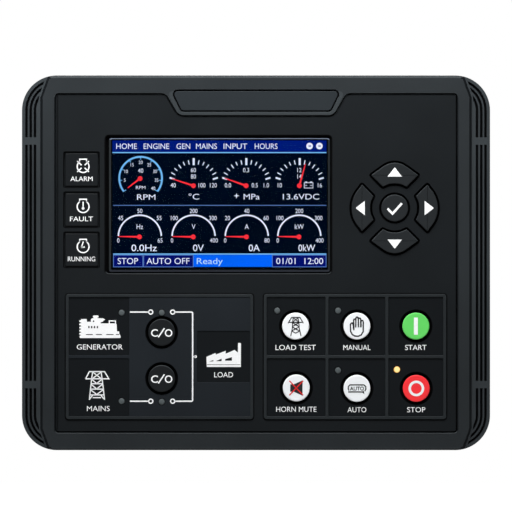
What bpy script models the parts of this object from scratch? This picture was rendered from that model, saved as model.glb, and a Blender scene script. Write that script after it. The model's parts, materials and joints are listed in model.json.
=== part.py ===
"""Flush-mounted genset controller, an assembly of separate moulded and electrical pieces.

Metres, +Z up, +X to the right, the front faces -Y. The origin is the middle of the panel
cut-out, in the plane where the rear of the bezel's flange meets the panel.
"""
import math

import bmesh
import bpy
from mathutils import Matrix

# Fits shared by all pieces; a cutter runs this far beyond the face that it opens
GAP = 0.0003
WALL = 0.0022
BEYOND = 0.0020

# Facets of round shapes, fewer where they are small or hidden
ROUND_STEPS = 20
SMALL_STEPS = 8
HIDDEN_STEPS = 12
CORNER_STEPS = 7
HIDDEN_CORNER_STEPS = 4
NAV_ARC_STEPS = 7
NAV_INNER_STEPS = 4
GROOVE_STEPS = 4

# Stack of pieces from the flange's rear face to the front; the web guides each key's retaining
# flange through its whole travel
RIM_INSERT = 0.0005
BOARD_THICKNESS = 0.0016
LCD_THICKNESS = 0.0029
KEY_FLANGE_THICKNESS = 0.0010
KEY_TRAVEL = 0.0010
WEB_THICKNESS = KEY_FLANGE_THICKNESS + KEY_TRAVEL
FASCIA_THICKNESS = 0.0020
FASCIA_DROP = 0.0008

RIM_FRONT = -RIM_INSERT
BOARD_BACK = RIM_FRONT - GAP
BOARD_FRONT = BOARD_BACK - BOARD_THICKNESS
LCD_BACK = BOARD_FRONT - GAP
LCD_FRONT = LCD_BACK - LCD_THICKNESS
WEB_BACK = LCD_FRONT - GAP
WEB_FRONT = WEB_BACK - WEB_THICKNESS
FASCIA_BACK = WEB_FRONT - GAP
FASCIA_FRONT = FASCIA_BACK - FASCIA_THICKNESS
BEZEL_FRONT = FASCIA_FRONT - FASCIA_DROP

# Screen and the row beside it, from the fascia's left edge
PANE_WIDTH = 0.0990
PANE_HEIGHT = 0.0603
PANE_THICKNESS = 0.0015
PANE_BEVEL = 0.0008
POCKET_RIM = 0.00125
PANE_LEDGE = 0.0010
WINDOW_MARGIN = 0.0040
WINDOW_SIZE = 0.0152
WINDOW_PITCH = 0.0179
WINDOW_DROP = 0.0022
WINDOW_THICKNESS = 0.0017
WINDOW_TO_POCKET = 0.0029
NAV_ZONE = 0.0554

WINDOW_HOLE = WINDOW_SIZE + 2 * GAP
POCKET_WIDTH = PANE_WIDTH + 2 * POCKET_RIM
POCKET_HEIGHT = PANE_HEIGHT + 2 * POCKET_RIM
FASCIA_WIDTH = WINDOW_MARGIN + WINDOW_HOLE + WINDOW_TO_POCKET + POCKET_WIDTH + NAV_ZONE

# Blocks below the screen
BLOCK_MARGIN = 0.00485
BLOCK_GAP = 0.00465
BLOCK_FOOT = 0.0060
BLOCK_TO_POCKET = 0.0084
POCKET_TO_TOP = 0.0186
RIB_WIDTH = 0.00135
RIB_RAISE = 0.0006
PLATE_RAISE = 0.0003
KEY_COLUMNS = (0.0262, 0.0254, 0.0245)
KEY_ROWS = (0.0260, 0.0259)
FUEL_CELL_WIDTH = 0.0270
LOAD_CELL_WIDTH = 0.0236
LOAD_CELL_HEIGHT = 0.0229
LOAD_CELL_INSET = 0.0002

KEY_BLOCK_WIDTH = sum(KEY_COLUMNS) + 4 * RIB_WIDTH
BLOCK_HEIGHT = sum(KEY_ROWS) + 3 * RIB_WIDTH
MIMIC_WIDTH = FASCIA_WIDTH - 2 * BLOCK_MARGIN - BLOCK_GAP - KEY_BLOCK_WIDTH
FASCIA_HEIGHT = BLOCK_FOOT + BLOCK_HEIGHT + BLOCK_TO_POCKET + POCKET_HEIGHT + POCKET_TO_TOP

# Bezel round the fascia
SIDE_BAND = 0.0147
TOP_BAND = 0.0078
BOTTOM_BAND = 0.0078
FRONT_CORNER = 0.0156
FASCIA_CORNER = 0.0013
FRONT_CHAMFER = 0.0008
FLANGE_SIDE = 0.0120
FLANGE_TOP = 0.0136

FRONT_WIDTH = FASCIA_WIDTH + 2 * SIDE_BAND
FRONT_HEIGHT = FASCIA_HEIGHT + TOP_BAND + BOTTOM_BAND
BODY_WIDTH = FRONT_WIDTH - 2 * FLANGE_SIDE
BODY_HEIGHT = FRONT_HEIGHT - 2 * FLANGE_TOP
FASCIA_LEFT = -FASCIA_WIDTH / 2
FASCIA_RIGHT = FASCIA_WIDTH / 2
FASCIA_BOTTOM = -FRONT_HEIGHT / 2 + BOTTOM_BAND
FASCIA_TOP = FRONT_HEIGHT / 2 - TOP_BAND

# Grip zones at both sides of the bezel
GRIP_WIDTH = 0.0082
GRIP_STEP = 0.0011
GRIP_DROP = 0.0012
GRIP_SLANT = 0.36
GRIP_SLANT_HEIGHT = 0.0098
GROOVE_WIDTH = 0.0008
GROOVE_DEPTH = 0.0011
GROOVE_INSETS = (0.0020, 0.0039, 0.0058)
GROOVE_END = 0.0008
GRIP_BAR_HEIGHT = 0.0033
GRIP_BAR_OFFSET = 0.0293

# Name tab and its plate
TAB_HALF_TOP = 0.0425
TAB_HALF_BOTTOM = 0.0325
TAB_DEPTH = 0.0102
TAB_ROUND = 0.0030
NAMEPLATE_OVER = 0.0016
NAMEPLATE_HEIGHT = 0.0095
NAMEPLATE_HALF_TOP = 0.0375
NAMEPLATE_HALF_BOTTOM = 0.0328
NAMEPLATE_THICKNESS = 0.0006
NAMEPLATE_SINK = 0.0002

# Keys
KEY_RADIUS = 0.00615
KEY_RING = 0.00095
KEY_CLEARANCE = 0.0004
KEY_PROUD = 0.0009
KEY_EDGE = 0.0004
KEY_LIP = 0.0005
NAV_CONFIRM_RADIUS = 0.0060
NAV_CONFIRM_RING = 0.0007
NAV_INNER_RADIUS = 0.0101
NAV_REACH_ACROSS = 0.0201
NAV_REACH_UP = 0.0212
NAV_HALF_GAP = 0.0021
NAV_HALF_CHORD = 0.0114
NAV_OUTER_RADIUS = 0.0136
NAV_CORNER = 0.0011
NAV_RING = 0.0007
NAV_RAISE = 0.0012
NAV_DROP = 0.0011
BREAKER_KEY_OFFSET = 0.0145
BREAKER_KEY_SPREAD = 0.0103
BREAKER_KEY_RISE = 0.0005

KEY_HOLE_RADIUS = KEY_RADIUS + KEY_CLEARANCE
KEY_FLANGE_RADIUS = KEY_HOLE_RADIUS + KEY_LIP
KEY_FLANGE_FRONT = FASCIA_BACK + GAP
KEY_FLANGE_BACK = KEY_FLANGE_FRONT + KEY_FLANGE_THICKNESS

# Lamps
LAMP_RADIUS = 0.00145
LAMP_COLLAR = 0.00190
LAMP_COLLAR_HEIGHT = 0.0008
LAMP_PROUD = 0.0004
LAMP_TIP_RADIUS = 0.0009
LAMP_DOME = 0.0006
LAMP_LEFT = 0.0084
LAMP_UP = (0.0069, 0.0081)
LAMP_FUEL_INSET = 0.0034
LAMP_BREAKER_UP = 0.0092
LAMP_BREAKER_DOWN = 0.0101
LAMP_HOLE_CLEARANCE = 0.0005
WINDOW_LAMP_RADIUS = 0.0015
WINDOW_LAMP_HEIGHT = 0.0029
WINDOW_LIGHT_RADIUS = 0.0040

# Keypad mat
MAT_THICKNESS = 0.0010
DOME_TOP_RADIUS = 0.0034
DOME_BASE_RADIUS = 0.0048
DOME_WALL = 0.0008
MAT_EDGE = 0.0010

# Screen module
LCD_LAP = 0.0033
LCD_RAIL = 0.0026
LCD_FLOOR = 0.0007

# Rear housing
COVER_DEPTH = 0.0340
BODY_CORNER = 0.0030
POST_SIZE = 0.0082
REAR_ROOM = 0.0182
TERMINAL_ROOM = 0.0062
TERMINAL_STEP = 0.0180
BOARD_LEDGE = 0.0015
VENT_COUNT = 14
VENT_PITCH = 0.0095
VENT_WIDTH = 0.0024
VENT_LENGTH = 0.0060
STANDOFF_RADIUS = 0.0030
STANDOFF_INSET = 0.0205
STANDOFF_DROP = 0.0121

BODY_HALF = BODY_WIDTH / 2
BODY_TOP = BODY_HEIGHT / 2
REAR_BOARD_BACK = COVER_DEPTH - WALL - REAR_ROOM
REAR_BOARD_FRONT = REAR_BOARD_BACK - BOARD_THICKNESS
STEP_DEPTH = REAR_BOARD_BACK + TERMINAL_ROOM + WALL
STEP_TOP = BODY_TOP - TERMINAL_STEP

# Screws that join the rear housing to the bezel
SCREW_RADIUS = 0.0015
SCREW_HEAD_RADIUS = 0.0028
SCREW_HEAD_HEIGHT = 0.0022
SCREW_SEAT = 0.0080
SCREW_BITE = 0.0056
SCREW_SLOT = 0.0009

# Clamps that hold the flange against a panel
CLAMP_HEIGHT = 0.0100
CLAMP_REACH = 0.0092
CLAMP_DEPTH = 0.0100
CLAMP_UP = 0.0380
CLAMP_LEAD = 0.0020
CLAMP_CHAMFER = 0.0015
HOOK_THICKNESS = 0.0012
HOOK_NECK = 0.0025
HOOK_LENGTH = 0.0060
CLAMP_SCREW_RADIUS = 0.0020
CLAMP_SCREW_OUT = 0.0055
CLAMP_SCREW_TIP = 0.0055
CLAMP_SCREW_LENGTH = 0.0215
CLAMP_SCREW_HEAD = 0.0034
CLAMP_SCREW_HEAD_HEIGHT = 0.0024
HOOK_FRONT = REAR_BOARD_BACK + 0.0004

# Terminals
TERMINAL_WAYS = 20
TERMINAL_PITCH = 0.00508
TERMINAL_OFFSET = 0.0034
HEADER_HEIGHT = 0.0104
HEADER_DEPTH = 0.0090
HEADER_WALL = 0.0010
PLUG_DEPTH = 0.0110
PLUG_HEIGHT = 0.0090
WIRE_HOLE = 0.0032
WIRE_HOLE_DEPTH = 0.0060
CLAMP_HOLE_RADIUS = 0.0014
CLAMP_HOLE_DEPTH = 0.0020
TERMINAL_LENGTH = TERMINAL_WAYS * TERMINAL_PITCH
TERMINAL_UP = STEP_TOP + TERMINAL_OFFSET + PLUG_DEPTH / 2

# Parts on the boards
USB_WIDTH = 0.0120
USB_HEIGHT = 0.0110
USB_WALL = 0.0015
USB_TONGUE = (0.0056, 0.0032)
USB_INSET = 0.0205
USB_X = USB_INSET - BODY_HALF
RELAY_SIZE = (0.0190, 0.0153, 0.0155)
RELAY_X = (-0.0300, -0.0050)
RELAY_Z = 0.0150
CAPACITOR_RADIUS = 0.0050
CAPACITOR_HEIGHT = 0.0150
CAPACITOR_PLACE = (0.0300, 0.0150)
BATTERY_RADIUS = 0.0100
BATTERY_HEIGHT = 0.0040
BATTERY_PLACE = (0.0450, -0.0150)
CONNECTOR_SIZE = (0.0410, 0.0050)
CONNECTOR_Z = -0.0350

# Panel gasket in the rear of the flange
GASKET_INSET = 0.0030
GASKET_WIDTH = 0.0024
GASKET_GROOVE_DEPTH = 0.0016
GASKET_SINK = 0.0001
CORE_WALL = 0.0015
CORE_WIDTH = 0.0020
CORE_DEPTH = 0.0060


def filleted(corners, steps=5):
    """Outline through corners given as (x, z, radius), with an arc at each radius above zero."""
    outline = []
    count = len(corners)
    for index, (x, z, radius) in enumerate(corners):
        if radius <= 0:
            outline.append((x, z))
            continue
        before = corners[index - 1]
        after = corners[(index + 1) % count]
        into = math.atan2(z - before[1], x - before[0])
        out = math.atan2(after[1] - z, after[0] - x)
        turn = (out - into + math.pi) % (2 * math.pi) - math.pi
        reach = radius * math.tan(abs(turn) / 2)
        side = math.copysign(1.0, turn)
        start_x = x - reach * math.cos(into)
        start_z = z - reach * math.sin(into)
        centre_x = start_x - side * radius * math.sin(into)
        centre_z = start_z + side * radius * math.cos(into)
        for step in range(steps + 1):
            angle = into + turn * step / steps - side * math.pi / 2
            outline.append((centre_x + radius * math.cos(angle),
                            centre_z + radius * math.sin(angle)))
    return outline


def rectangle(width, height, radius=0.0, centre=(0.0, 0.0), steps=5):
    """Rectangle round a centre, with rounded corners where a radius is given."""
    x, z = centre
    half_x = width / 2
    half_z = height / 2
    signs = ((1, -1), (1, 1), (-1, 1), (-1, -1))
    return filleted([(x + sx * half_x, z + sz * half_z, radius) for sx, sz in signs], steps)


def circle(radius, centre=(0.0, 0.0), steps=ROUND_STEPS):
    """Regular outline round a centre."""
    x, z = centre
    turns = (2 * math.pi * step / steps for step in range(steps))
    return [(x + radius * math.cos(turn), z + radius * math.sin(turn)) for turn in turns]


def grown(outline, distance):
    """Outline moved outwards by a distance, or inwards where it is negative."""
    moved = []
    count = len(outline)
    for index, (x, z) in enumerate(outline):
        before = outline[index - 1]
        after = outline[(index + 1) % count]
        into = math.atan2(z - before[1], x - before[0])
        out = math.atan2(after[1] - z, after[0] - x)
        first = (math.sin(into), -math.cos(into))
        second = (math.sin(out), -math.cos(out))
        share = distance / (1 + first[0] * second[0] + first[1] * second[1])
        moved.append((x + share * (first[0] + second[0]), z + share * (first[1] + second[1])))
    return moved


def mirrored(outline, flip_x, flip_z):
    """Outline mirrored in X, in Z or in both."""
    side = -1 if flip_x else 1
    rise = -1 if flip_z else 1
    return [(side * x, rise * z) for x, z in outline]


def add_stack(mesh, rings):
    """Closed solid through outlines of one point count, given as (y, outline) front to back."""
    loops = [[mesh.verts.new((x, y, z)) for x, z in outline] for y, outline in rings]
    count = len(loops[0])
    mesh.faces.new(loops[0])
    mesh.faces.new(reversed(loops[-1]))
    for front, back in zip(loops, loops[1:]):
        for index in range(count):
            after = (index + 1) % count
            mesh.faces.new((front[index], back[index], back[after], front[after]))


def add_prism(mesh, outline, front, back):
    """Straight solid from an outline between two depths."""
    add_stack(mesh, [(front, outline), (back, outline)])


def add_turned(mesh, profile, centre=(0.0, 0.0), steps=ROUND_STEPS):
    """Turned solid from a profile of (radius, y) given front to back."""
    add_stack(mesh, [(y, circle(radius, centre, steps)) for radius, y in profile])


def add_box(mesh, x_range, y_range, z_range):
    """Box between three pairs of limits."""
    corners = [(x_range[0], z_range[0]), (x_range[1], z_range[0]),
               (x_range[1], z_range[1]), (x_range[0], z_range[1])]
    add_prism(mesh, corners, y_range[0], y_range[1])


def add_upright(mesh, outline, low, high):
    """Solid from an outline in X and Y, extruded along Z."""
    lower = [mesh.verts.new((x, y, low)) for x, y in outline]
    upper = [mesh.verts.new((x, y, high)) for x, y in outline]
    count = len(outline)
    mesh.faces.new(reversed(lower))
    mesh.faces.new(upper)
    for index in range(count):
        after = (index + 1) % count
        mesh.faces.new((lower[index], lower[after], upper[after], upper[index]))


def finish(name, make, place=(0.0, 0.0, 0.0)):
    """Object from a function that fills a mesh in the object's own coordinates."""
    mesh = bmesh.new()
    make(mesh)
    bmesh.ops.translate(mesh, verts=mesh.verts, vec=[-value for value in place])
    bmesh.ops.recalc_face_normals(mesh, faces=mesh.faces)
    data = bpy.data.meshes.new(name)
    mesh.to_mesh(data)
    mesh.free()
    item = bpy.data.objects.new(name, data)
    item.location = place
    bpy.context.collection.objects.link(item)
    return item


def paint(item, colour, roughness=0.5, metallic=0.0, alpha=1.0):
    """Give a piece its own material."""
    material = bpy.data.materials.new(item.name)
    material.use_nodes = True
    shader = material.node_tree.nodes["Principled BSDF"]
    shader.inputs["Base Color"].default_value = (*colour, 1.0)
    shader.inputs["Roughness"].default_value = roughness
    shader.inputs["Metallic"].default_value = metallic
    shader.inputs["Alpha"].default_value = alpha
    item.data.materials.append(material)
    return item


def combine(item, name, make, operation="DIFFERENCE"):
    """Cut a helper solid out of a piece, or join it on."""
    helper = finish(name, make)
    helper.hide_render = True
    helper.display_type = "WIRE"
    change = item.modifiers.new(name, "BOOLEAN")
    change.operation = operation
    change.object = helper
    helper.parent = item
    helper.matrix_parent_inverse = Matrix.Translation(item.location).inverted()


def smooth(item, degrees=35):
    """Shade a turned piece smooth between its sharp edges."""
    item.data.shade_smooth()
    item.data.set_sharp_from_angle(angle=math.radians(degrees))


# Places that more than one piece is built from

PANE_LEFT = FASCIA_LEFT + WINDOW_MARGIN + WINDOW_HOLE + WINDOW_TO_POCKET + POCKET_RIM
PANE_CENTRE = (
    PANE_LEFT + PANE_WIDTH / 2,
    FASCIA_TOP - POCKET_TO_TOP - POCKET_HEIGHT / 2,
)
WINDOW_X = FASCIA_LEFT + WINDOW_MARGIN + WINDOW_HOLE / 2
WINDOW_CENTRES = {
    "alarm": (WINDOW_X, PANE_CENTRE[1] - WINDOW_DROP + WINDOW_PITCH),
    "warning": (WINDOW_X, PANE_CENTRE[1] - WINDOW_DROP),
    "running": (WINDOW_X, PANE_CENTRE[1] - WINDOW_DROP - WINDOW_PITCH),
}
NAV_CENTRE = (FASCIA_RIGHT - NAV_ZONE / 2, PANE_CENTRE[1] - NAV_DROP)
BLOCK_BOTTOM = FASCIA_BOTTOM + BLOCK_FOOT
BLOCK_TOP = BLOCK_BOTTOM + BLOCK_HEIGHT
MIMIC_LEFT = FASCIA_LEFT + BLOCK_MARGIN
MIMIC_RIGHT = MIMIC_LEFT + MIMIC_WIDTH
KEY_BLOCK_LEFT = MIMIC_RIGHT + BLOCK_GAP


def key_cells():
    """Limits of the six key cells as (left, right, bottom, top), row by row from the top left."""
    cells = []
    top = BLOCK_TOP - RIB_WIDTH
    for height in KEY_ROWS:
        left = KEY_BLOCK_LEFT + RIB_WIDTH
        for width in KEY_COLUMNS:
            cells.append((left, left + width, top - height, top))
            left += width + RIB_WIDTH
        top -= height + RIB_WIDTH
    return cells


def fuel_cells():
    """Limits of the generator and mains cells at the left of the mimic block."""
    left = MIMIC_LEFT + RIB_WIDTH
    top = BLOCK_TOP - RIB_WIDTH
    cells = []
    for height in KEY_ROWS:
        cells.append((left, left + FUEL_CELL_WIDTH, top - height, top))
        top -= height + RIB_WIDTH
    return cells


def load_cell():
    """Limits of the load cell at the right of the mimic block."""
    right = MIMIC_RIGHT - RIB_WIDTH - LOAD_CELL_INSET
    middle = (BLOCK_TOP + BLOCK_BOTTOM) / 2
    return (right - LOAD_CELL_WIDTH, right,
            middle - LOAD_CELL_HEIGHT / 2, middle + LOAD_CELL_HEIGHT / 2)


def middle_of(cell):
    """Middle of a cell in X and Z."""
    return ((cell[0] + cell[1]) / 2, (cell[2] + cell[3]) / 2)


BREAKER_X = MIMIC_LEFT + RIB_WIDTH + FUEL_CELL_WIDTH + BREAKER_KEY_OFFSET
BREAKER_Z = (BLOCK_TOP + BLOCK_BOTTOM) / 2 + BREAKER_KEY_RISE
FUNCTION_KEYS = dict(zip(("test", "manual", "start", "mute", "auto", "stop"),
                         (middle_of(cell) for cell in key_cells())))
BREAKER_KEYS = {
    "generator_breaker": (BREAKER_X, BREAKER_Z + BREAKER_KEY_SPREAD),
    "mains_breaker": (BREAKER_X, BREAKER_Z - BREAKER_KEY_SPREAD),
}
ROUND_KEYS = {**FUNCTION_KEYS, **BREAKER_KEYS}
FUEL_LAMP_X = MIMIC_LEFT + RIB_WIDTH + FUEL_CELL_WIDTH - LAMP_FUEL_INSET
LAMPS = {
    "generator": (FUEL_LAMP_X, BREAKER_KEYS["generator_breaker"][1] + LAMP_BREAKER_UP),
    "mains": (FUEL_LAMP_X, BREAKER_KEYS["mains_breaker"][1] - LAMP_BREAKER_DOWN),
    "generator_breaker": (BREAKER_X, BREAKER_KEYS["generator_breaker"][1] + LAMP_BREAKER_UP),
    "mains_breaker": (BREAKER_X, BREAKER_KEYS["mains_breaker"][1] - LAMP_BREAKER_DOWN),
    "test": (FUNCTION_KEYS["test"][0] - LAMP_LEFT, FUNCTION_KEYS["test"][1] + LAMP_UP[0]),
    "manual": (FUNCTION_KEYS["manual"][0] - LAMP_LEFT, FUNCTION_KEYS["manual"][1] + LAMP_UP[0]),
    "auto": (FUNCTION_KEYS["auto"][0] - LAMP_LEFT, FUNCTION_KEYS["auto"][1] + LAMP_UP[1]),
    "stop": (FUNCTION_KEYS["stop"][0] - LAMP_LEFT, FUNCTION_KEYS["stop"][1] + LAMP_UP[1]),
}


def nav_arc(turn, reach):
    """Outline of one menu key's hole, a rounded fan that points away from the ring's middle."""
    slope = NAV_HALF_GAP * math.sqrt(2)
    inner = (math.sqrt(2 * NAV_INNER_RADIUS ** 2 - slope ** 2) - slope) / 2
    inner_angle = math.atan2(inner, inner + slope)
    far = reach - NAV_OUTER_RADIUS
    outer_angle = math.asin(NAV_HALF_CHORD / NAV_OUTER_RADIUS)
    corner_x = NAV_HALF_CHORD + slope
    points = [(inner + slope, -inner, NAV_CORNER), (corner_x, -NAV_HALF_CHORD, NAV_CORNER)]
    for step in range(1, NAV_ARC_STEPS):
        angle = outer_angle * (2 * step / NAV_ARC_STEPS - 1)
        points.append((far + NAV_OUTER_RADIUS * math.cos(angle),
                       NAV_OUTER_RADIUS * math.sin(angle), 0.0))
    points.append((corner_x, NAV_HALF_CHORD, NAV_CORNER))
    points.append((inner + slope, inner, NAV_CORNER))
    for step in range(1, NAV_INNER_STEPS):
        angle = inner_angle * (1 - 2 * step / NAV_INNER_STEPS)
        points.append((NAV_INNER_RADIUS * math.cos(angle),
                       NAV_INNER_RADIUS * math.sin(angle), 0.0))
    outline = filleted(points, 2)
    cosine = math.cos(turn)
    sine = math.sin(turn)
    return [(NAV_CENTRE[0] + x * cosine - z * sine, NAV_CENTRE[1] + x * sine + z * cosine)
            for x, z in outline]


NAV_KEYS = {
    "right": nav_arc(0.0, NAV_REACH_ACROSS),
    "up": nav_arc(math.pi / 2, NAV_REACH_UP),
    "left": nav_arc(math.pi, NAV_REACH_ACROSS),
    "down": nav_arc(-math.pi / 2, NAV_REACH_UP),
}
NAV_MIDDLE_RADIUS = (NAV_INNER_RADIUS + NAV_REACH_ACROSS) / 2
NAV_DOMES = {
    "right": (NAV_CENTRE[0] + NAV_MIDDLE_RADIUS, NAV_CENTRE[1]),
    "up": (NAV_CENTRE[0], NAV_CENTRE[1] + NAV_MIDDLE_RADIUS),
    "left": (NAV_CENTRE[0] - NAV_MIDDLE_RADIUS, NAV_CENTRE[1]),
    "down": (NAV_CENTRE[0], NAV_CENTRE[1] - NAV_MIDDLE_RADIUS),
}
NAV_WELL_RADIUS = NAV_REACH_UP + KEY_LIP + 2 * KEY_CLEARANCE


def tab_outline(half_top, half_bottom, top, bottom, rounding):
    """Tapered plate outline, wider at the top."""
    return filleted([(half_bottom, bottom, rounding), (half_top, top, 0.0),
                     (-half_top, top, 0.0), (-half_bottom, bottom, rounding)])


def fascia_outline():
    """Fascia's edge, with the notch for the name tab in its top side."""
    tab = FASCIA_TOP - TAB_DEPTH
    return filleted([
        (FASCIA_RIGHT, FASCIA_BOTTOM, FASCIA_CORNER),
        (FASCIA_RIGHT, FASCIA_TOP, FASCIA_CORNER),
        (TAB_HALF_TOP, FASCIA_TOP, TAB_ROUND),
        (TAB_HALF_BOTTOM, tab, TAB_ROUND),
        (-TAB_HALF_BOTTOM, tab, TAB_ROUND),
        (-TAB_HALF_TOP, FASCIA_TOP, TAB_ROUND),
        (FASCIA_LEFT, FASCIA_TOP, FASCIA_CORNER),
        (FASCIA_LEFT, FASCIA_BOTTOM, FASCIA_CORNER),
    ])


def front_outline(inset=0.0, steps=HIDDEN_CORNER_STEPS):
    """Bezel's outer edge, or a line at an even inset inside it."""
    return rectangle(FRONT_WIDTH - 2 * inset, FRONT_HEIGHT - 2 * inset,
                     FRONT_CORNER - inset, steps=steps)


def notched(width, height, notch):
    """Rectangle with a square notch out of each corner."""
    x = width / 2
    z = height / 2
    return [(x, -z + notch), (x, z - notch), (x - notch, z - notch), (x - notch, z),
            (notch - x, z), (notch - x, z - notch), (-x, z - notch), (-x, notch - z),
            (notch - x, notch - z), (notch - x, -z), (x - notch, -z), (x - notch, notch - z)]


def grip_zone():
    """Lowered zone at the bezel's left side, open beyond the outer edge."""
    inner = -FRONT_WIDTH / 2 + GRIP_WIDTH
    start = FRONT_HEIGHT / 2 - GRIP_SLANT_HEIGHT
    end = FRONT_HEIGHT / 2 + BEYOND
    far = inner + GRIP_SLANT * (end - start)
    outside = -FRONT_WIDTH / 2 - BEYOND
    return [(inner, start), (far, end), (outside, end), (outside, -end), (far, -end),
            (inner, -start)]


def groove_end(inset):
    """Points round the top corner at an inset, from the side to the slanted end of the grip."""
    radius = FRONT_CORNER - inset
    centre_x = -FRONT_WIDTH / 2 + FRONT_CORNER
    centre_z = FRONT_HEIGHT / 2 - FRONT_CORNER
    start = FRONT_HEIGHT / 2 - GRIP_SLANT_HEIGHT
    side = -FRONT_WIDTH / 2 + GRIP_WIDTH - GROOVE_END - centre_x
    rise = math.sqrt(radius ** 2 - side ** 2)
    across = side
    if centre_z + rise > start:
        offset = side + GRIP_SLANT * (centre_z - start)
        square = 1 + GRIP_SLANT ** 2
        root = math.sqrt(max(radius ** 2 * square - offset ** 2, 0.0))
        rise = (root - offset * GRIP_SLANT) / square
        across = offset + GRIP_SLANT * rise
    end = math.atan2(rise, across)
    angles = (math.pi + (end - math.pi) * step / GROOVE_STEPS
              for step in range(GROOVE_STEPS + 1))
    return [(centre_x + radius * math.cos(angle), centre_z + radius * math.sin(angle))
            for angle in angles]


def groove_outlines(inset):
    """Three stretches of one groove at the left side: top corner, middle and bottom corner."""
    outer = inset - GROOVE_WIDTH / 2
    inner = inset + GROOVE_WIDTH / 2
    edge = -FRONT_WIDTH / 2
    bar = FRONT_HEIGHT / 2 - GRIP_BAR_OFFSET
    top = [(edge + outer, bar + GRIP_BAR_HEIGHT / 2)]
    top += groove_end(outer)
    top += reversed(groove_end(inner))
    top.append((edge + inner, bar + GRIP_BAR_HEIGHT / 2))
    limit = bar - GRIP_BAR_HEIGHT / 2
    middle = [(edge + inner, -limit), (edge + inner, limit),
              (edge + outer, limit), (edge + outer, -limit)]
    return [top, middle, mirrored(top, False, True)]


CAVITY_WIDTH = BODY_WIDTH + 2 * GAP
CAVITY_HEIGHT = BODY_HEIGHT + 2 * GAP
CAVITY_NOTCH = POST_SIZE + GAP
SCREW_X = BODY_HALF - POST_SIZE / 2
SCREW_Z = BODY_TOP - POST_SIZE / 2
SCREW_PLACES = [(sx * SCREW_X, sz * SCREW_Z) for sx in (-1, 1) for sz in (-1, 1)]


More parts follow.
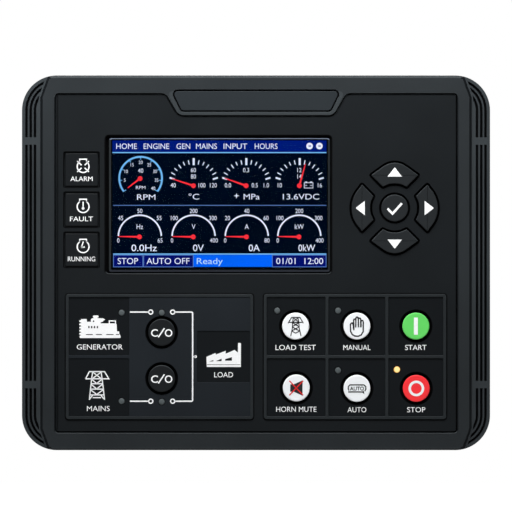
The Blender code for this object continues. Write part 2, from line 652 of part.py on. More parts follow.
def front_bezel():
    """Moulded front frame: grip grooves, fascia recess, key wells, board cavity and flange."""
    edge = front_outline(steps=CORNER_STEPS)
    bezel = finish("front_bezel", lambda mesh: add_stack(mesh, [
        (BEZEL_FRONT, front_outline(FRONT_CHAMFER, CORNER_STEPS)),
        (BEZEL_FRONT + FRONT_CHAMFER, edge),
        (0.0, edge),
    ]))
    paint(bezel, (0.033, 0.040, 0.047), 0.55)

    def grips(mesh):
        floor = BEZEL_FRONT + GRIP_DROP
        for flip in (False, True):
            zone = mirrored(grip_zone(), flip, False)
            step = -GRIP_STEP if flip else GRIP_STEP
            # The upper ring lies as far above the front face as the floor lies below it, so the
            # sloping step spreads twice its width between the two
            wide = [(x + 2 * step if abs(x) < FRONT_WIDTH / 2 else x, z) for x, z in zone]
            add_stack(mesh, [(BEZEL_FRONT - GRIP_DROP, wide), (floor, zone)])

    def grooves(mesh):
        floor = BEZEL_FRONT + GRIP_DROP + GROOVE_DEPTH
        for inset in GROOVE_INSETS:
            for outline in groove_outlines(inset):
                for flip in (False, True):
                    add_prism(mesh, mirrored(outline, flip, False), BEZEL_FRONT, floor)

    def recess(mesh):
        add_prism(mesh, grown(fascia_outline(), GAP), BEZEL_FRONT - BEYOND, WEB_FRONT)

    def plate_pocket(mesh):
        floor = BEZEL_FRONT + NAMEPLATE_SINK + NAMEPLATE_THICKNESS + GAP
        add_prism(mesh, grown(nameplate_outline(), GAP), BEZEL_FRONT - BEYOND, floor)

    def front_cavity(mesh):
        inset = 2 * BOARD_LEDGE
        add_prism(mesh, notched(CAVITY_WIDTH - inset, CAVITY_HEIGHT - inset,
                                CAVITY_NOTCH - BOARD_LEDGE), WEB_BACK, BOARD_FRONT - GAP / 2)

    def board_cavity(mesh):
        add_prism(mesh, notched(CAVITY_WIDTH, CAVITY_HEIGHT, CAVITY_NOTCH),
                  BOARD_FRONT - GAP, BOARD_BACK + GAP / 2)

    def rim_cavity(mesh):
        add_prism(mesh, rectangle(CAVITY_WIDTH, CAVITY_HEIGHT, BODY_CORNER),
                  RIM_FRONT - GAP, BEYOND)

    def wells(mesh):
        depths = (WEB_FRONT - GAP, WEB_BACK + GAP)
        opening = rectangle(PANE_WIDTH - 2 * PANE_LEDGE, PANE_HEIGHT - 2 * PANE_LEDGE,
                            centre=PANE_CENTRE)
        add_prism(mesh, opening, *depths)
        for place in WINDOW_CENTRES.values():
            add_prism(mesh, circle(WINDOW_LIGHT_RADIUS, place, SMALL_STEPS), *depths)
        for place in ROUND_KEYS.values():
            add_prism(mesh, circle(KEY_FLANGE_RADIUS + KEY_CLEARANCE, place, HIDDEN_STEPS),
                      *depths)
        add_prism(mesh, circle(NAV_WELL_RADIUS, NAV_CENTRE), *depths)

    def lamp_holes(mesh):
        radius = LAMP_RADIUS + LAMP_HOLE_CLEARANCE
        for place in LAMPS.values():
            add_prism(mesh, circle(radius, place, SMALL_STEPS), WEB_FRONT - GAP, WEB_BACK + GAP)

    def screw_holes(mesh):
        for place in SCREW_PLACES:
            add_prism(mesh, circle(SCREW_RADIUS + GAP, place, SMALL_STEPS),
                      RIM_FRONT - SCREW_BITE - 2 * GAP, BEYOND)

    def gasket_groove(mesh):
        add_prism(mesh, front_outline(GASKET_INSET), -GASKET_GROOVE_DEPTH, BEYOND)

    def gasket_land(mesh):
        inner = GASKET_INSET + GASKET_WIDTH + 2 * GAP
        add_prism(mesh, front_outline(inner), -GASKET_GROOVE_DEPTH - GAP, 0.0)

    def core(mesh):
        outer = GASKET_INSET + GASKET_WIDTH + 2 * GAP + CORE_WALL
        add_prism(mesh, front_outline(outer), -CORE_DEPTH, BEYOND)

    def core_land(mesh):
        inner = GASKET_INSET + GASKET_WIDTH + 2 * GAP + CORE_WALL + CORE_WIDTH
        add_prism(mesh, front_outline(inner), -CORE_DEPTH - GAP, 0.0)

    combine(bezel, "bezel_gasket_groove", gasket_groove)
    combine(bezel, "bezel_gasket_land", gasket_land, "UNION")
    combine(bezel, "bezel_core", core)
    combine(bezel, "bezel_core_land", core_land, "UNION")
    combine(bezel, "bezel_grips", grips)
    combine(bezel, "bezel_grooves", grooves)
    combine(bezel, "bezel_recess", recess)
    combine(bezel, "bezel_plate_pocket", plate_pocket)
    combine(bezel, "bezel_rim_cavity", rim_cavity)
    combine(bezel, "bezel_board_cavity", board_cavity)
    combine(bezel, "bezel_front_cavity", front_cavity)
    combine(bezel, "bezel_wells", wells)
    combine(bezel, "bezel_lamp_holes", lamp_holes)
    combine(bezel, "bezel_screw_holes", screw_holes)


def nameplate_outline():
    """Edge of the bare plate in the tab."""
    top = FASCIA_TOP + NAMEPLATE_OVER
    return tab_outline(NAMEPLATE_HALF_TOP, NAMEPLATE_HALF_BOTTOM, top,
                       top - NAMEPLATE_HEIGHT, TAB_ROUND / 2)


def nameplate():
    """Bare plate let into the name tab."""
    front = BEZEL_FRONT + NAMEPLATE_SINK
    plate = finish("nameplate", lambda mesh: add_prism(
        mesh, nameplate_outline(), front, front + NAMEPLATE_THICKNESS))
    paint(plate, (0.030, 0.037, 0.043), 0.4)


def fascia_panel():
    """Inner panel with its raised blocks, cells and openings."""
    fascia = finish("fascia_panel",
                    lambda mesh: add_prism(mesh, fascia_outline(), FASCIA_FRONT, FASCIA_BACK))
    paint(fascia, (0.016, 0.019, 0.022), 0.5)
    inside = (FASCIA_FRONT + FASCIA_BACK) / 2

    def blocks(mesh):
        for left, width in ((MIMIC_LEFT, MIMIC_WIDTH), (KEY_BLOCK_LEFT, KEY_BLOCK_WIDTH)):
            centre = (left + width / 2, (BLOCK_TOP + BLOCK_BOTTOM) / 2)
            outline = rectangle(width, BLOCK_HEIGHT, FASCIA_CORNER, centre, 3)
            add_prism(mesh, outline, FASCIA_FRONT - RIB_RAISE, inside)

    def mimic_plate(mesh):
        add_box(mesh, (MIMIC_LEFT + RIB_WIDTH, MIMIC_RIGHT - RIB_WIDTH),
                (FASCIA_FRONT - RIB_RAISE - BEYOND, FASCIA_FRONT - PLATE_RAISE),
                (BLOCK_BOTTOM + RIB_WIDTH, BLOCK_TOP - RIB_WIDTH))

    def cells(mesh):
        for left, right, bottom, top in [*key_cells(), *fuel_cells(), load_cell()]:
            add_box(mesh, (left, right), (FASCIA_FRONT - BEYOND, FASCIA_FRONT), (bottom, top))

    def flat_openings(mesh):
        depths = (FASCIA_FRONT - BEYOND, FASCIA_BACK + BEYOND)
        add_prism(mesh, rectangle(POCKET_WIDTH, POCKET_HEIGHT, FASCIA_CORNER, PANE_CENTRE, 3),
                  *depths)
        for place in WINDOW_CENTRES.values():
            add_prism(mesh, rectangle(WINDOW_HOLE, WINDOW_HOLE, 2 * GAP, place, 2), *depths)
        for place in LAMPS.values():
            add_prism(mesh, circle(LAMP_RADIUS + GAP, place, SMALL_STEPS), *depths)

    def key_openings(mesh):
        mouth = KEY_RADIUS + KEY_RING
        depth = mouth - KEY_HOLE_RADIUS
        for name, place in ROUND_KEYS.items():
            level = FASCIA_FRONT - (PLATE_RAISE if name in BREAKER_KEYS else 0.0)
            add_turned(mesh, [(mouth + BEYOND, level - BEYOND), (mouth, level),
                              (KEY_HOLE_RADIUS, level + depth),
                              (KEY_HOLE_RADIUS, FASCIA_BACK + BEYOND)], place)
        confirm = NAV_CONFIRM_RADIUS + NAV_CONFIRM_RING
        add_turned(mesh, [(confirm + BEYOND, FASCIA_FRONT - BEYOND), (confirm, FASCIA_FRONT),
                          (NAV_CONFIRM_RADIUS + KEY_CLEARANCE, FASCIA_FRONT + GAP),
                          (NAV_CONFIRM_RADIUS + KEY_CLEARANCE, FASCIA_BACK + BEYOND)],
                   NAV_CENTRE)
        inset = KEY_CLEARANCE - NAV_RING
        for outline in NAV_KEYS.values():
            add_stack(mesh, [(FASCIA_FRONT - BEYOND, outline), (FASCIA_FRONT, outline),
                             (FASCIA_FRONT + GAP, grown(outline, inset)),
                             (FASCIA_BACK + BEYOND, grown(outline, inset))])

    combine(fascia, "fascia_blocks", blocks, "UNION")
    combine(fascia, "fascia_mimic_plate", mimic_plate)
    combine(fascia, "fascia_cells", cells)
    combine(fascia, "fascia_flat_openings", flat_openings)
    combine(fascia, "fascia_key_openings", key_openings)


def panes():
    """Screen pane and the three status panes, each with a bevelled front edge."""
    back = FASCIA_BACK
    outline = rectangle(PANE_WIDTH, PANE_HEIGHT, FASCIA_CORNER, PANE_CENTRE, 3)
    front = back - PANE_THICKNESS
    screen = finish("display_window", lambda mesh: add_stack(mesh, [
        (front, grown(outline, -PANE_BEVEL)), (front + PANE_BEVEL / 2, outline),
        (back, outline)]))
    paint(screen, (0.02, 0.025, 0.03), 0.1, alpha=0.35)
    for name, place in WINDOW_CENTRES.items():
        edge = rectangle(WINDOW_SIZE, WINDOW_SIZE, 2 * GAP, place, 2)
        face = back - WINDOW_THICKNESS
        pane = finish(f"{name}_window", lambda mesh: add_stack(mesh, [
            (face, grown(edge, -GAP)), (face + GAP, edge), (back, edge)]))
        paint(pane, (0.018, 0.021, 0.024), 0.35)


def round_key(name, place, colour, level, radius, flange):
    """Round key: a cap with a rounded edge over a retaining flange."""
    top = level - KEY_PROUD
    edge = KEY_EDGE
    key = finish(f"key_{name}", lambda mesh: add_turned(mesh, [
        (radius - edge, top), (radius, top + edge),
        (radius, KEY_FLANGE_FRONT), (flange, KEY_FLANGE_FRONT), (flange, KEY_FLANGE_BACK),
    ], place), (place[0], KEY_FLANGE_FRONT, place[1]))
    paint(key, colour, 0.4)
    smooth(key)


def keys():
    """All thirteen keys, each sliding straight back on its own axis."""
    white = (0.90, 0.93, 0.95)
    dark = (0.012, 0.014, 0.016)
    colours = {"start": (0.13, 0.69, 0.13), "stop": (0.95, 0.04, 0.055)}
    for name, place in FUNCTION_KEYS.items():
        round_key(name, place, colours.get(name, white), FASCIA_FRONT, KEY_RADIUS,
                  KEY_FLANGE_RADIUS)
    for name, place in BREAKER_KEYS.items():
        round_key(name, place, dark, FASCIA_FRONT - PLATE_RAISE, KEY_RADIUS, KEY_FLANGE_RADIUS)
    round_key("confirm", NAV_CENTRE, dark, FASCIA_FRONT, NAV_CONFIRM_RADIUS,
              NAV_CONFIRM_RADIUS + KEY_CLEARANCE + KEY_LIP)
    top = FASCIA_FRONT - NAV_RAISE
    for name, outline in NAV_KEYS.items():
        cap = grown(outline, -NAV_RING)
        lip = grown(outline, KEY_LIP)
        dome = NAV_DOMES[name]
        key = finish(f"key_{name}", lambda mesh: add_stack(mesh, [
            (top, grown(cap, -KEY_EDGE)), (top + KEY_EDGE, cap), (KEY_FLANGE_FRONT, cap),
            (KEY_FLANGE_FRONT, lip), (KEY_FLANGE_BACK, lip)]), (dome[0], KEY_FLANGE_FRONT, dome[1]))
        paint(key, dark, 0.4)


def keypad_mat():
    """One-piece silicone mat on the front board, with a hollow dome under each key."""
    back = BOARD_FRONT - GAP
    front = back - MAT_THICKNESS
    dome_top = KEY_FLANGE_BACK + GAP
    side = CAVITY_WIDTH / 2 - CAVITY_NOTCH - MAT_EDGE
    low = -(CAVITY_HEIGHT / 2 - BOARD_LEDGE - MAT_EDGE)
    high = NAV_CENTRE[1] + NAV_WELL_RADIUS
    screen_right = PANE_CENTRE[0] + PANE_WIDTH / 2 + LCD_LAP + MAT_EDGE
    shelf = PANE_CENTRE[1] - PANE_HEIGHT / 2 - LCD_LAP - MAT_EDGE
    round_corner = 2 * MAT_EDGE
    outline = filleted([(side, low, round_corner), (side, high, round_corner),
                        (screen_right, high, round_corner), (screen_right, shelf, 0.0),
                        (-side, shelf, round_corner), (-side, low, round_corner)], 3)
    mat = finish("keypad_mat", lambda mesh: add_prism(mesh, outline, front, back))
    paint(mat, (0.22, 0.23, 0.24), 0.8)
    places = [*ROUND_KEYS.values(), NAV_CENTRE, *NAV_DOMES.values()]

    def domes(mesh):
        for place in places:
            add_turned(mesh, [(DOME_TOP_RADIUS, dome_top), (DOME_BASE_RADIUS, front),
                              (DOME_BASE_RADIUS, front + MAT_THICKNESS / 2)], place,
                       SMALL_STEPS)

    def hollows(mesh):
        for place in places:
            add_turned(mesh, [(DOME_TOP_RADIUS - DOME_WALL, dome_top + 2 * DOME_WALL),
                              (DOME_BASE_RADIUS - DOME_WALL, front),
                              (DOME_BASE_RADIUS - DOME_WALL, back + GAP / 2)], place,
                       SMALL_STEPS)

    def lamp_holes(mesh):
        for place in LAMPS.values():
            add_prism(mesh, circle(LAMP_COLLAR + GAP, place, SMALL_STEPS), front - GAP,
                      back + GAP / 2)

    combine(mat, "mat_domes", domes, "UNION")
    combine(mat, "mat_hollows", hollows)
    combine(mat, "mat_lamp_holes", lamp_holes)


def lamps():
    """Indicator lamps on the front board, and short ones behind the status panes."""
    base = BOARD_FRONT - GAP
    tip = FASCIA_FRONT - LAMP_PROUD
    for name, place in LAMPS.items():
        lamp = finish(f"lamp_{name}", lambda mesh: add_turned(mesh, [
            (LAMP_TIP_RADIUS, tip), (LAMP_RADIUS, tip + LAMP_DOME),
            (LAMP_RADIUS, base - LAMP_COLLAR_HEIGHT),
            (LAMP_COLLAR, base - LAMP_COLLAR_HEIGHT), (LAMP_COLLAR, base)], place,
            SMALL_STEPS), (place[0], base, place[1]))
        paint(lamp, (0.97, 0.85, 0.36) if name == "stop" else (0.10, 0.12, 0.12), 0.3)
        smooth(lamp)
    for name, place in WINDOW_CENTRES.items():
        lamp = finish(f"lamp_{name}_window", lambda mesh: add_turned(mesh, [
            (LAMP_TIP_RADIUS, base - WINDOW_LAMP_HEIGHT),
            (WINDOW_LAMP_RADIUS, base - WINDOW_LAMP_HEIGHT + LAMP_DOME),
            (WINDOW_LAMP_RADIUS, base)], place, SMALL_STEPS), (place[0], base, place[1]))
        paint(lamp, (0.7, 0.7, 0.65), 0.3)
        smooth(lamp)


def screen_module():
    """Screen behind the pane: a tray with the glass lying in it."""
    width = PANE_WIDTH + 2 * LCD_LAP
    height = PANE_HEIGHT + 2 * LCD_LAP
    tray = finish("lcd_frame", lambda mesh: add_prism(
        mesh, rectangle(width, height, centre=PANE_CENTRE), LCD_FRONT, LCD_BACK))
    paint(tray, (0.45, 0.46, 0.47), 0.35, 1.0)
    pocket = (width - 2 * LCD_RAIL, height - 2 * LCD_RAIL)
    floor = LCD_BACK - LCD_FLOOR

    def hollow(mesh):
        add_prism(mesh, rectangle(*pocket, centre=PANE_CENTRE), LCD_FRONT - BEYOND, floor)

    combine(tray, "lcd_hollow", hollow)
    glass = finish("lcd_glass", lambda mesh: add_prism(
        mesh, rectangle(pocket[0] - 2 * GAP, pocket[1] - 2 * GAP, centre=PANE_CENTRE),
        LCD_FRONT + GAP / 3, floor - GAP))
    paint(glass, (0.004, 0.008, 0.03), 0.15)


def boards():
    """Front and rear circuit boards with the connector between them."""
    for name, front, fit in (("front_board", BOARD_FRONT, CAVITY_WIDTH),
                             ("rear_board", REAR_BOARD_FRONT, BODY_WIDTH - 2 * WALL)):
        height = CAVITY_HEIGHT if name == "front_board" else BODY_HEIGHT - 2 * WALL
        notch = CAVITY_NOTCH if name == "front_board" else POST_SIZE - WALL
        outline = grown(notched(fit, height, notch), -GAP)
        board = finish(name, lambda mesh: add_prism(mesh, outline, front,
                                                    front + BOARD_THICKNESS))
        paint(board, (0.02, 0.12, 0.05), 0.5)
    width, height = CONNECTOR_SIZE
    connector = finish("board_connector", lambda mesh: add_prism(
        mesh, rectangle(width, height, centre=(0.0, CONNECTOR_Z)), BOARD_BACK + GAP,
        REAR_BOARD_FRONT - GAP))
    paint(connector, (0.015, 0.015, 0.016), 0.5)


def board_parts():
    """Relays, capacitor, clock battery and the service socket."""
    seat = REAR_BOARD_BACK + GAP
    length, height, width = RELAY_SIZE
    for name, x in zip(("relay_start", "relay_fuel"), RELAY_X):
        relay = finish(name, lambda mesh: add_prism(
            mesh, rectangle(length, width, 2 * GAP, (x, RELAY_Z), 2), seat, seat + height))
        paint(relay, (0.02, 0.07, 0.20), 0.4)
    capacitor = finish("filter_capacitor", lambda mesh: add_turned(mesh, [
        (CAPACITOR_RADIUS, seat), (CAPACITOR_RADIUS, seat + CAPACITOR_HEIGHT - GAP),
        (CAPACITOR_RADIUS - GAP, seat + CAPACITOR_HEIGHT)], CAPACITOR_PLACE))
    paint(capacitor, (0.05, 0.06, 0.10), 0.3)
    smooth(capacitor)
    cell = finish("clock_battery", lambda mesh: add_turned(mesh, [
        (BATTERY_RADIUS, BOARD_BACK + GAP), (BATTERY_RADIUS, BOARD_BACK + BATTERY_HEIGHT),
        (BATTERY_RADIUS - 2 * GAP, BOARD_BACK + BATTERY_HEIGHT + GAP)], BATTERY_PLACE))
    paint(cell, (0.6, 0.6, 0.6), 0.25, 1.0)
    smooth(cell)
    end = COVER_DEPTH - GAP
    socket = finish("usb_socket", lambda mesh: add_prism(
        mesh, rectangle(USB_WIDTH, USB_HEIGHT, centre=(USB_X, 0.0)), seat, end))
    paint(socket, (0.5, 0.5, 0.5), 0.3, 1.0)
    floor = seat + USB_WALL

    def mouth(mesh):
        add_prism(mesh, rectangle(USB_WIDTH - 2 * USB_WALL, USB_HEIGHT - 2 * USB_WALL,
                                  centre=(USB_X, 0.0)), floor, end + BEYOND)

    def tongue(mesh):
        add_prism(mesh, rectangle(*USB_TONGUE, centre=(USB_X, 0.0)), floor - GAP, end - USB_WALL)

    combine(socket, "usb_mouth", mouth)
    combine(socket, "usb_tongue", tongue, "UNION")


def terminals():
    """Two terminal headers on the rear board, each with its plug."""
    seat = REAR_BOARD_BACK + GAP
    mouth = seat + HEADER_HEIGHT
    length = TERMINAL_LENGTH + 2 * HEADER_WALL
    inner = HEADER_DEPTH - 2 * HEADER_WALL
    for name, side in (("upper", 1), ("lower", -1)):
        centre = (0.0, side * TERMINAL_UP)
        header = finish(f"{name}_terminal_header", lambda mesh: add_prism(
            mesh, rectangle(length, HEADER_DEPTH, centre=centre), seat, mouth))
        paint(header, (0.03, 0.20, 0.07), 0.5)
        combine(header, f"{name}_header_well", lambda mesh: add_prism(
            mesh, rectangle(TERMINAL_LENGTH, inner, centre=centre), seat + HEADER_WALL,
            mouth + BEYOND))
        back = mouth + GAP + PLUG_HEIGHT
        plug = finish(f"{name}_terminal_plug", lambda mesh: add_prism(
            mesh, rectangle(length, PLUG_DEPTH, centre=centre), mouth + GAP, back))
        paint(plug, (0.03, 0.24, 0.08), 0.5)
        combine(plug, f"{name}_plug_tongue", lambda mesh: add_prism(
            mesh, rectangle(TERMINAL_LENGTH - 2 * GAP, inner - 2 * GAP, centre=centre),
            seat + HEADER_WALL + GAP, mouth + 2 * GAP), "UNION")
        places = [(index - (TERMINAL_WAYS - 1) / 2) * TERMINAL_PITCH
                  for index in range(TERMINAL_WAYS)]

        def wire_holes(mesh):
            for x in places:
                add_prism(mesh, rectangle(WIRE_HOLE, WIRE_HOLE, centre=(x, centre[1])),
                          back - WIRE_HOLE_DEPTH, back + BEYOND)

        def screw_holes(mesh):
            outer = side * (TERMINAL_UP + PLUG_DEPTH / 2)
            depth = mouth + GAP + PLUG_HEIGHT / 2
            limits = sorted((outer - side * CLAMP_HOLE_DEPTH, outer + side * BEYOND))
            for x in places:
                outline = circle(CLAMP_HOLE_RADIUS, (x, depth), 6)
                add_upright(mesh, outline, limits[0], limits[1])

        combine(plug, f"{name}_plug_wire_holes", wire_holes)
        combine(plug, f"{name}_plug_screw_holes", screw_holes)


def rear_cover():
    """Rear housing: stepped shell with posts, vents, terminal slots and clamp slots."""
    outline = rectangle(BODY_WIDTH, BODY_HEIGHT, BODY_CORNER)
    cover = finish("rear_cover", lambda mesh: add_prism(mesh, outline, RIM_FRONT, STEP_DEPTH))
    paint(cover, (0.018, 0.020, 0.022), 0.6)
    inner_width = BODY_WIDTH - 2 * WALL

    def block(mesh):
        centre_block = rectangle(BODY_WIDTH, 2 * STEP_TOP, BODY_CORNER)
        add_stack(mesh, [(STEP_DEPTH - WALL, centre_block),
                         (COVER_DEPTH - FRONT_CHAMFER, centre_block),
                         (COVER_DEPTH, grown(centre_block, -FRONT_CHAMFER))])

    def wide_cavity(mesh):
        add_prism(mesh, notched(inner_width, BODY_HEIGHT - 2 * WALL, POST_SIZE - WALL),
                  RIM_FRONT - BEYOND, STEP_DEPTH - WALL)

    def deep_cavity(mesh):
        add_prism(mesh, rectangle(inner_width, 2 * (STEP_TOP - WALL)), STEP_DEPTH - 2 * WALL,
                  COVER_DEPTH - WALL)

    def standoffs(mesh):
        across = BODY_HALF - STANDOFF_INSET
        up = STEP_TOP - STANDOFF_DROP
        for sx in (-1, 1):
            for sz in (-1, 1):
                add_prism(mesh, circle(STANDOFF_RADIUS, (sx * across, sz * up), SMALL_STEPS),
                          REAR_BOARD_BACK + GAP, COVER_DEPTH - WALL / 2)

    def vents(mesh):
        depth = (STEP_DEPTH + COVER_DEPTH - WALL) / 2
        for index in range(VENT_COUNT):
            x = (index - (VENT_COUNT - 1) / 2) * VENT_PITCH
            for side in (-1, 1):
                limits = sorted((side * (STEP_TOP - 2 * WALL), side * (STEP_TOP + BEYOND)))
                add_box(mesh, (x - VENT_WIDTH / 2, x + VENT_WIDTH / 2),
                        (depth - VENT_LENGTH / 2, depth + VENT_LENGTH / 2), limits)

    def terminal_slots(mesh):
        length = TERMINAL_LENGTH + 2 * HEADER_WALL + 2 * GAP
        for side in (-1, 1):
            slot = rectangle(length, HEADER_DEPTH + 2 * GAP, centre=(0.0, side * TERMINAL_UP))
            add_prism(mesh, slot, STEP_DEPTH - WALL - BEYOND, STEP_DEPTH + BEYOND)

    def socket_slot(mesh):
        slot = rectangle(USB_WIDTH + 2 * GAP, USB_HEIGHT + 2 * GAP, centre=(USB_X, 0.0))
        add_prism(mesh, slot, COVER_DEPTH - WALL - BEYOND, COVER_DEPTH + BEYOND)

    def clamp_slots(mesh):
        for side in (-1, 1):
            limits = sorted((side * (BODY_HALF - WALL - BEYOND), side * (BODY_HALF + BEYOND)))
            for rise in (-1, 1):
                z = rise * CLAMP_UP
                half = CLAMP_HEIGHT / 2 + GAP
                add_box(mesh, limits, (HOOK_FRONT - GAP, HOOK_FRONT + HOOK_LENGTH + 2 * GAP),
                        (z - half, z + half))

    def screw_holes(mesh):
        for place in SCREW_PLACES:
            add_turned(mesh, [(SCREW_RADIUS + GAP, RIM_FRONT - BEYOND),
                              (SCREW_RADIUS + GAP, SCREW_SEAT),
                              (SCREW_HEAD_RADIUS + GAP, SCREW_SEAT),
                              (SCREW_HEAD_RADIUS + GAP, STEP_DEPTH + BEYOND)], place,
                       SMALL_STEPS)

    combine(cover, "cover_block", block, "UNION")
    combine(cover, "cover_wide_cavity", wide_cavity)
    combine(cover, "cover_deep_cavity", deep_cavity)
    combine(cover, "cover_standoffs", standoffs, "UNION")
    combine(cover, "cover_vents", vents)
    combine(cover, "cover_terminal_slots", terminal_slots)
    combine(cover, "cover_socket_slot", socket_slot)
    combine(cover, "cover_clamp_slots", clamp_slots)
    combine(cover, "cover_screw_holes", screw_holes)


def cover_screws():
    """Four screws from the rear housing into the bezel's corner blocks."""
    head = SCREW_SEAT + GAP
    for index, place in enumerate(SCREW_PLACES, 1):
        screw = finish(f"cover_screw_{index}", lambda mesh: add_turned(mesh, [
            (SCREW_RADIUS, RIM_FRONT - SCREW_BITE), (SCREW_RADIUS, head),
            (SCREW_HEAD_RADIUS, head), (SCREW_HEAD_RADIUS, head + SCREW_HEAD_HEIGHT)],
            place, SMALL_STEPS))
        paint(screw, (0.5, 0.5, 0.5), 0.3, 1.0)
        top = head + SCREW_HEAD_HEIGHT
        combine(screw, f"cover_screw_{index}_slot", lambda mesh: add_prism(
            mesh, rectangle(2 * SCREW_HEAD_RADIUS - SCREW_SLOT, SCREW_SLOT, centre=place),
            top - SCREW_SLOT, top + BEYOND))


def panel_gasket():
    """Flat seal lying in the groove of the flange's rear face."""
    inset = GASKET_INSET + GAP
    gasket = finish("panel_gasket", lambda mesh: add_prism(
        mesh, front_outline(inset), GAP - GASKET_GROOVE_DEPTH, -GASKET_SINK))
    paint(gasket, (0.02, 0.02, 0.02), 0.9)
    combine(gasket, "gasket_middle", lambda mesh: add_prism(
        mesh, front_outline(inset + GASKET_WIDTH), -BEYOND, BEYOND))


def clamps():
    """Four hooked clamps in the housing's side slots, each with its pressing screw."""
    near = BODY_HALF + GAP
    far = near + CLAMP_REACH
    front = HOOK_FRONT - CLAMP_LEAD
    back = front + CLAMP_DEPTH
    face = BODY_HALF - WALL - GAP
    deep = face - HOOK_THICKNESS
    hook_end = HOOK_FRONT + HOOK_LENGTH
    neck_end = HOOK_FRONT + HOOK_NECK
    profile = [(far, front), (far, back - CLAMP_CHAMFER), (far - CLAMP_CHAMFER, back),
               (near, back), (near, neck_end), (face, neck_end), (face, hook_end),
               (deep, hook_end), (deep, HOOK_FRONT), (near, HOOK_FRONT), (near, front)]
    number = 0
    for side in (-1, 1):
        for rise in (-1, 1):
            number += 1
            z = rise * CLAMP_UP
            axis = (side * (near + CLAMP_SCREW_OUT), z)
            clamp = finish(f"clamp_{number}", lambda mesh: add_upright(
                mesh, mirrored(profile, side < 0, False), z - CLAMP_HEIGHT / 2,
                z + CLAMP_HEIGHT / 2))
            paint(clamp, (0.02, 0.022, 0.024), 0.6)
            combine(clamp, f"clamp_{number}_hole", lambda mesh: add_prism(
                mesh, circle(CLAMP_SCREW_RADIUS + GAP, axis, SMALL_STEPS), front - BEYOND,
                back + BEYOND))
            end = CLAMP_SCREW_TIP + CLAMP_SCREW_LENGTH
            top = end + CLAMP_SCREW_HEAD_HEIGHT
            screw = finish(f"clamp_screw_{number}", lambda mesh: add_turned(mesh, [
                (CLAMP_SCREW_RADIUS / 2, CLAMP_SCREW_TIP),
                (CLAMP_SCREW_RADIUS, CLAMP_SCREW_TIP + CLAMP_SCREW_RADIUS / 2),
                (CLAMP_SCREW_RADIUS, end), (CLAMP_SCREW_HEAD, end), (CLAMP_SCREW_HEAD, top)],
                axis, SMALL_STEPS))
            paint(screw, (0.5, 0.5, 0.5), 0.3, 1.0)
            combine(screw, f"clamp_screw_{number}_slot", lambda mesh: add_prism(
                mesh, rectangle(2 * (CLAMP_SCREW_HEAD + BEYOND), SCREW_SLOT, centre=axis),
                top - SCREW_SLOT, top + BEYOND))


def main():
    """Clear the scene and build every piece."""
    for item in list(bpy.data.objects):
        bpy.data.objects.remove(item)
    front_bezel()
    nameplate()
    fascia_panel()
    panes()
    keys()
    keypad_mat()
    lamps()
    screen_module()
    boards()
    board_parts()
    terminals()
    rear_cover()
    cover_screws()
    panel_gasket()
    clamps()


main()
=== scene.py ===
"""Looks of the flush-mounted genset controller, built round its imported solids.

Metres, +Z up and +X to the right, with the front facing -Y. Outlines are drawn in X and Z as seen
from the front, and a depth is a Y value.
"""
from __future__ import annotations

import json
import logging
import math
from collections.abc import Iterable, Mapping, Sequence
from dataclasses import dataclass
from enum import Enum
from functools import lru_cache
from typing import ClassVar

import bmesh
import bpy
from mathutils import Matrix, Vector

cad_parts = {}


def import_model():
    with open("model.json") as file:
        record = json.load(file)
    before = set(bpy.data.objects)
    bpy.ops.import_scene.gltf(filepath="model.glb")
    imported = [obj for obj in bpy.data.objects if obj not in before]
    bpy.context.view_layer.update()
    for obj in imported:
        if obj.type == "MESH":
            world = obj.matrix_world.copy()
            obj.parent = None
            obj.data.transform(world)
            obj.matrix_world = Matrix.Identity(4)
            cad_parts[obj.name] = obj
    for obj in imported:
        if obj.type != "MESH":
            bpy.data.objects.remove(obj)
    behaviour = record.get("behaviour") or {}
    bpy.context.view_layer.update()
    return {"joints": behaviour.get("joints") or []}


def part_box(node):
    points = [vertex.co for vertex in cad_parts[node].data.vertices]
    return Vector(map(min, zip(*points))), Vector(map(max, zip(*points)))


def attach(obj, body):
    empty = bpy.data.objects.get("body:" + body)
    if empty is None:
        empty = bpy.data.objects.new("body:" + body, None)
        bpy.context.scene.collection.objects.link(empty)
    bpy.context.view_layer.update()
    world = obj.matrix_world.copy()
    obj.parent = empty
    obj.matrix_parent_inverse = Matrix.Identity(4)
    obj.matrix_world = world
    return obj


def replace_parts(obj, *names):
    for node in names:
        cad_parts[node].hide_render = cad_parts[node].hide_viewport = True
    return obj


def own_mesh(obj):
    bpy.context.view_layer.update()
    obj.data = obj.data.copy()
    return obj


LOG = logging.getLogger("genset_controller")

Point = tuple[float, float]
Outline = list[Point]
Ring = tuple[float, Outline]
Colour = tuple[float, float, float]

HOUSING = "housing"
CLEAR = 0.0003
BEYOND = 0.002
ROUND_STEPS = 64
CORNER_STEPS = 14
EASE_STEPS = 4
PRINT_LIFT = 0.000005
PRINT_THICKNESS = 0.00003
# Facets of a small corner, and a size larger than the whole object.
SMALL_STEPS = 6
WHOLE = 1.0
# Least share of a face's direction at which it counts as tilted that way, or as facing it.
TILTED = 0.3
FACING = 0.9


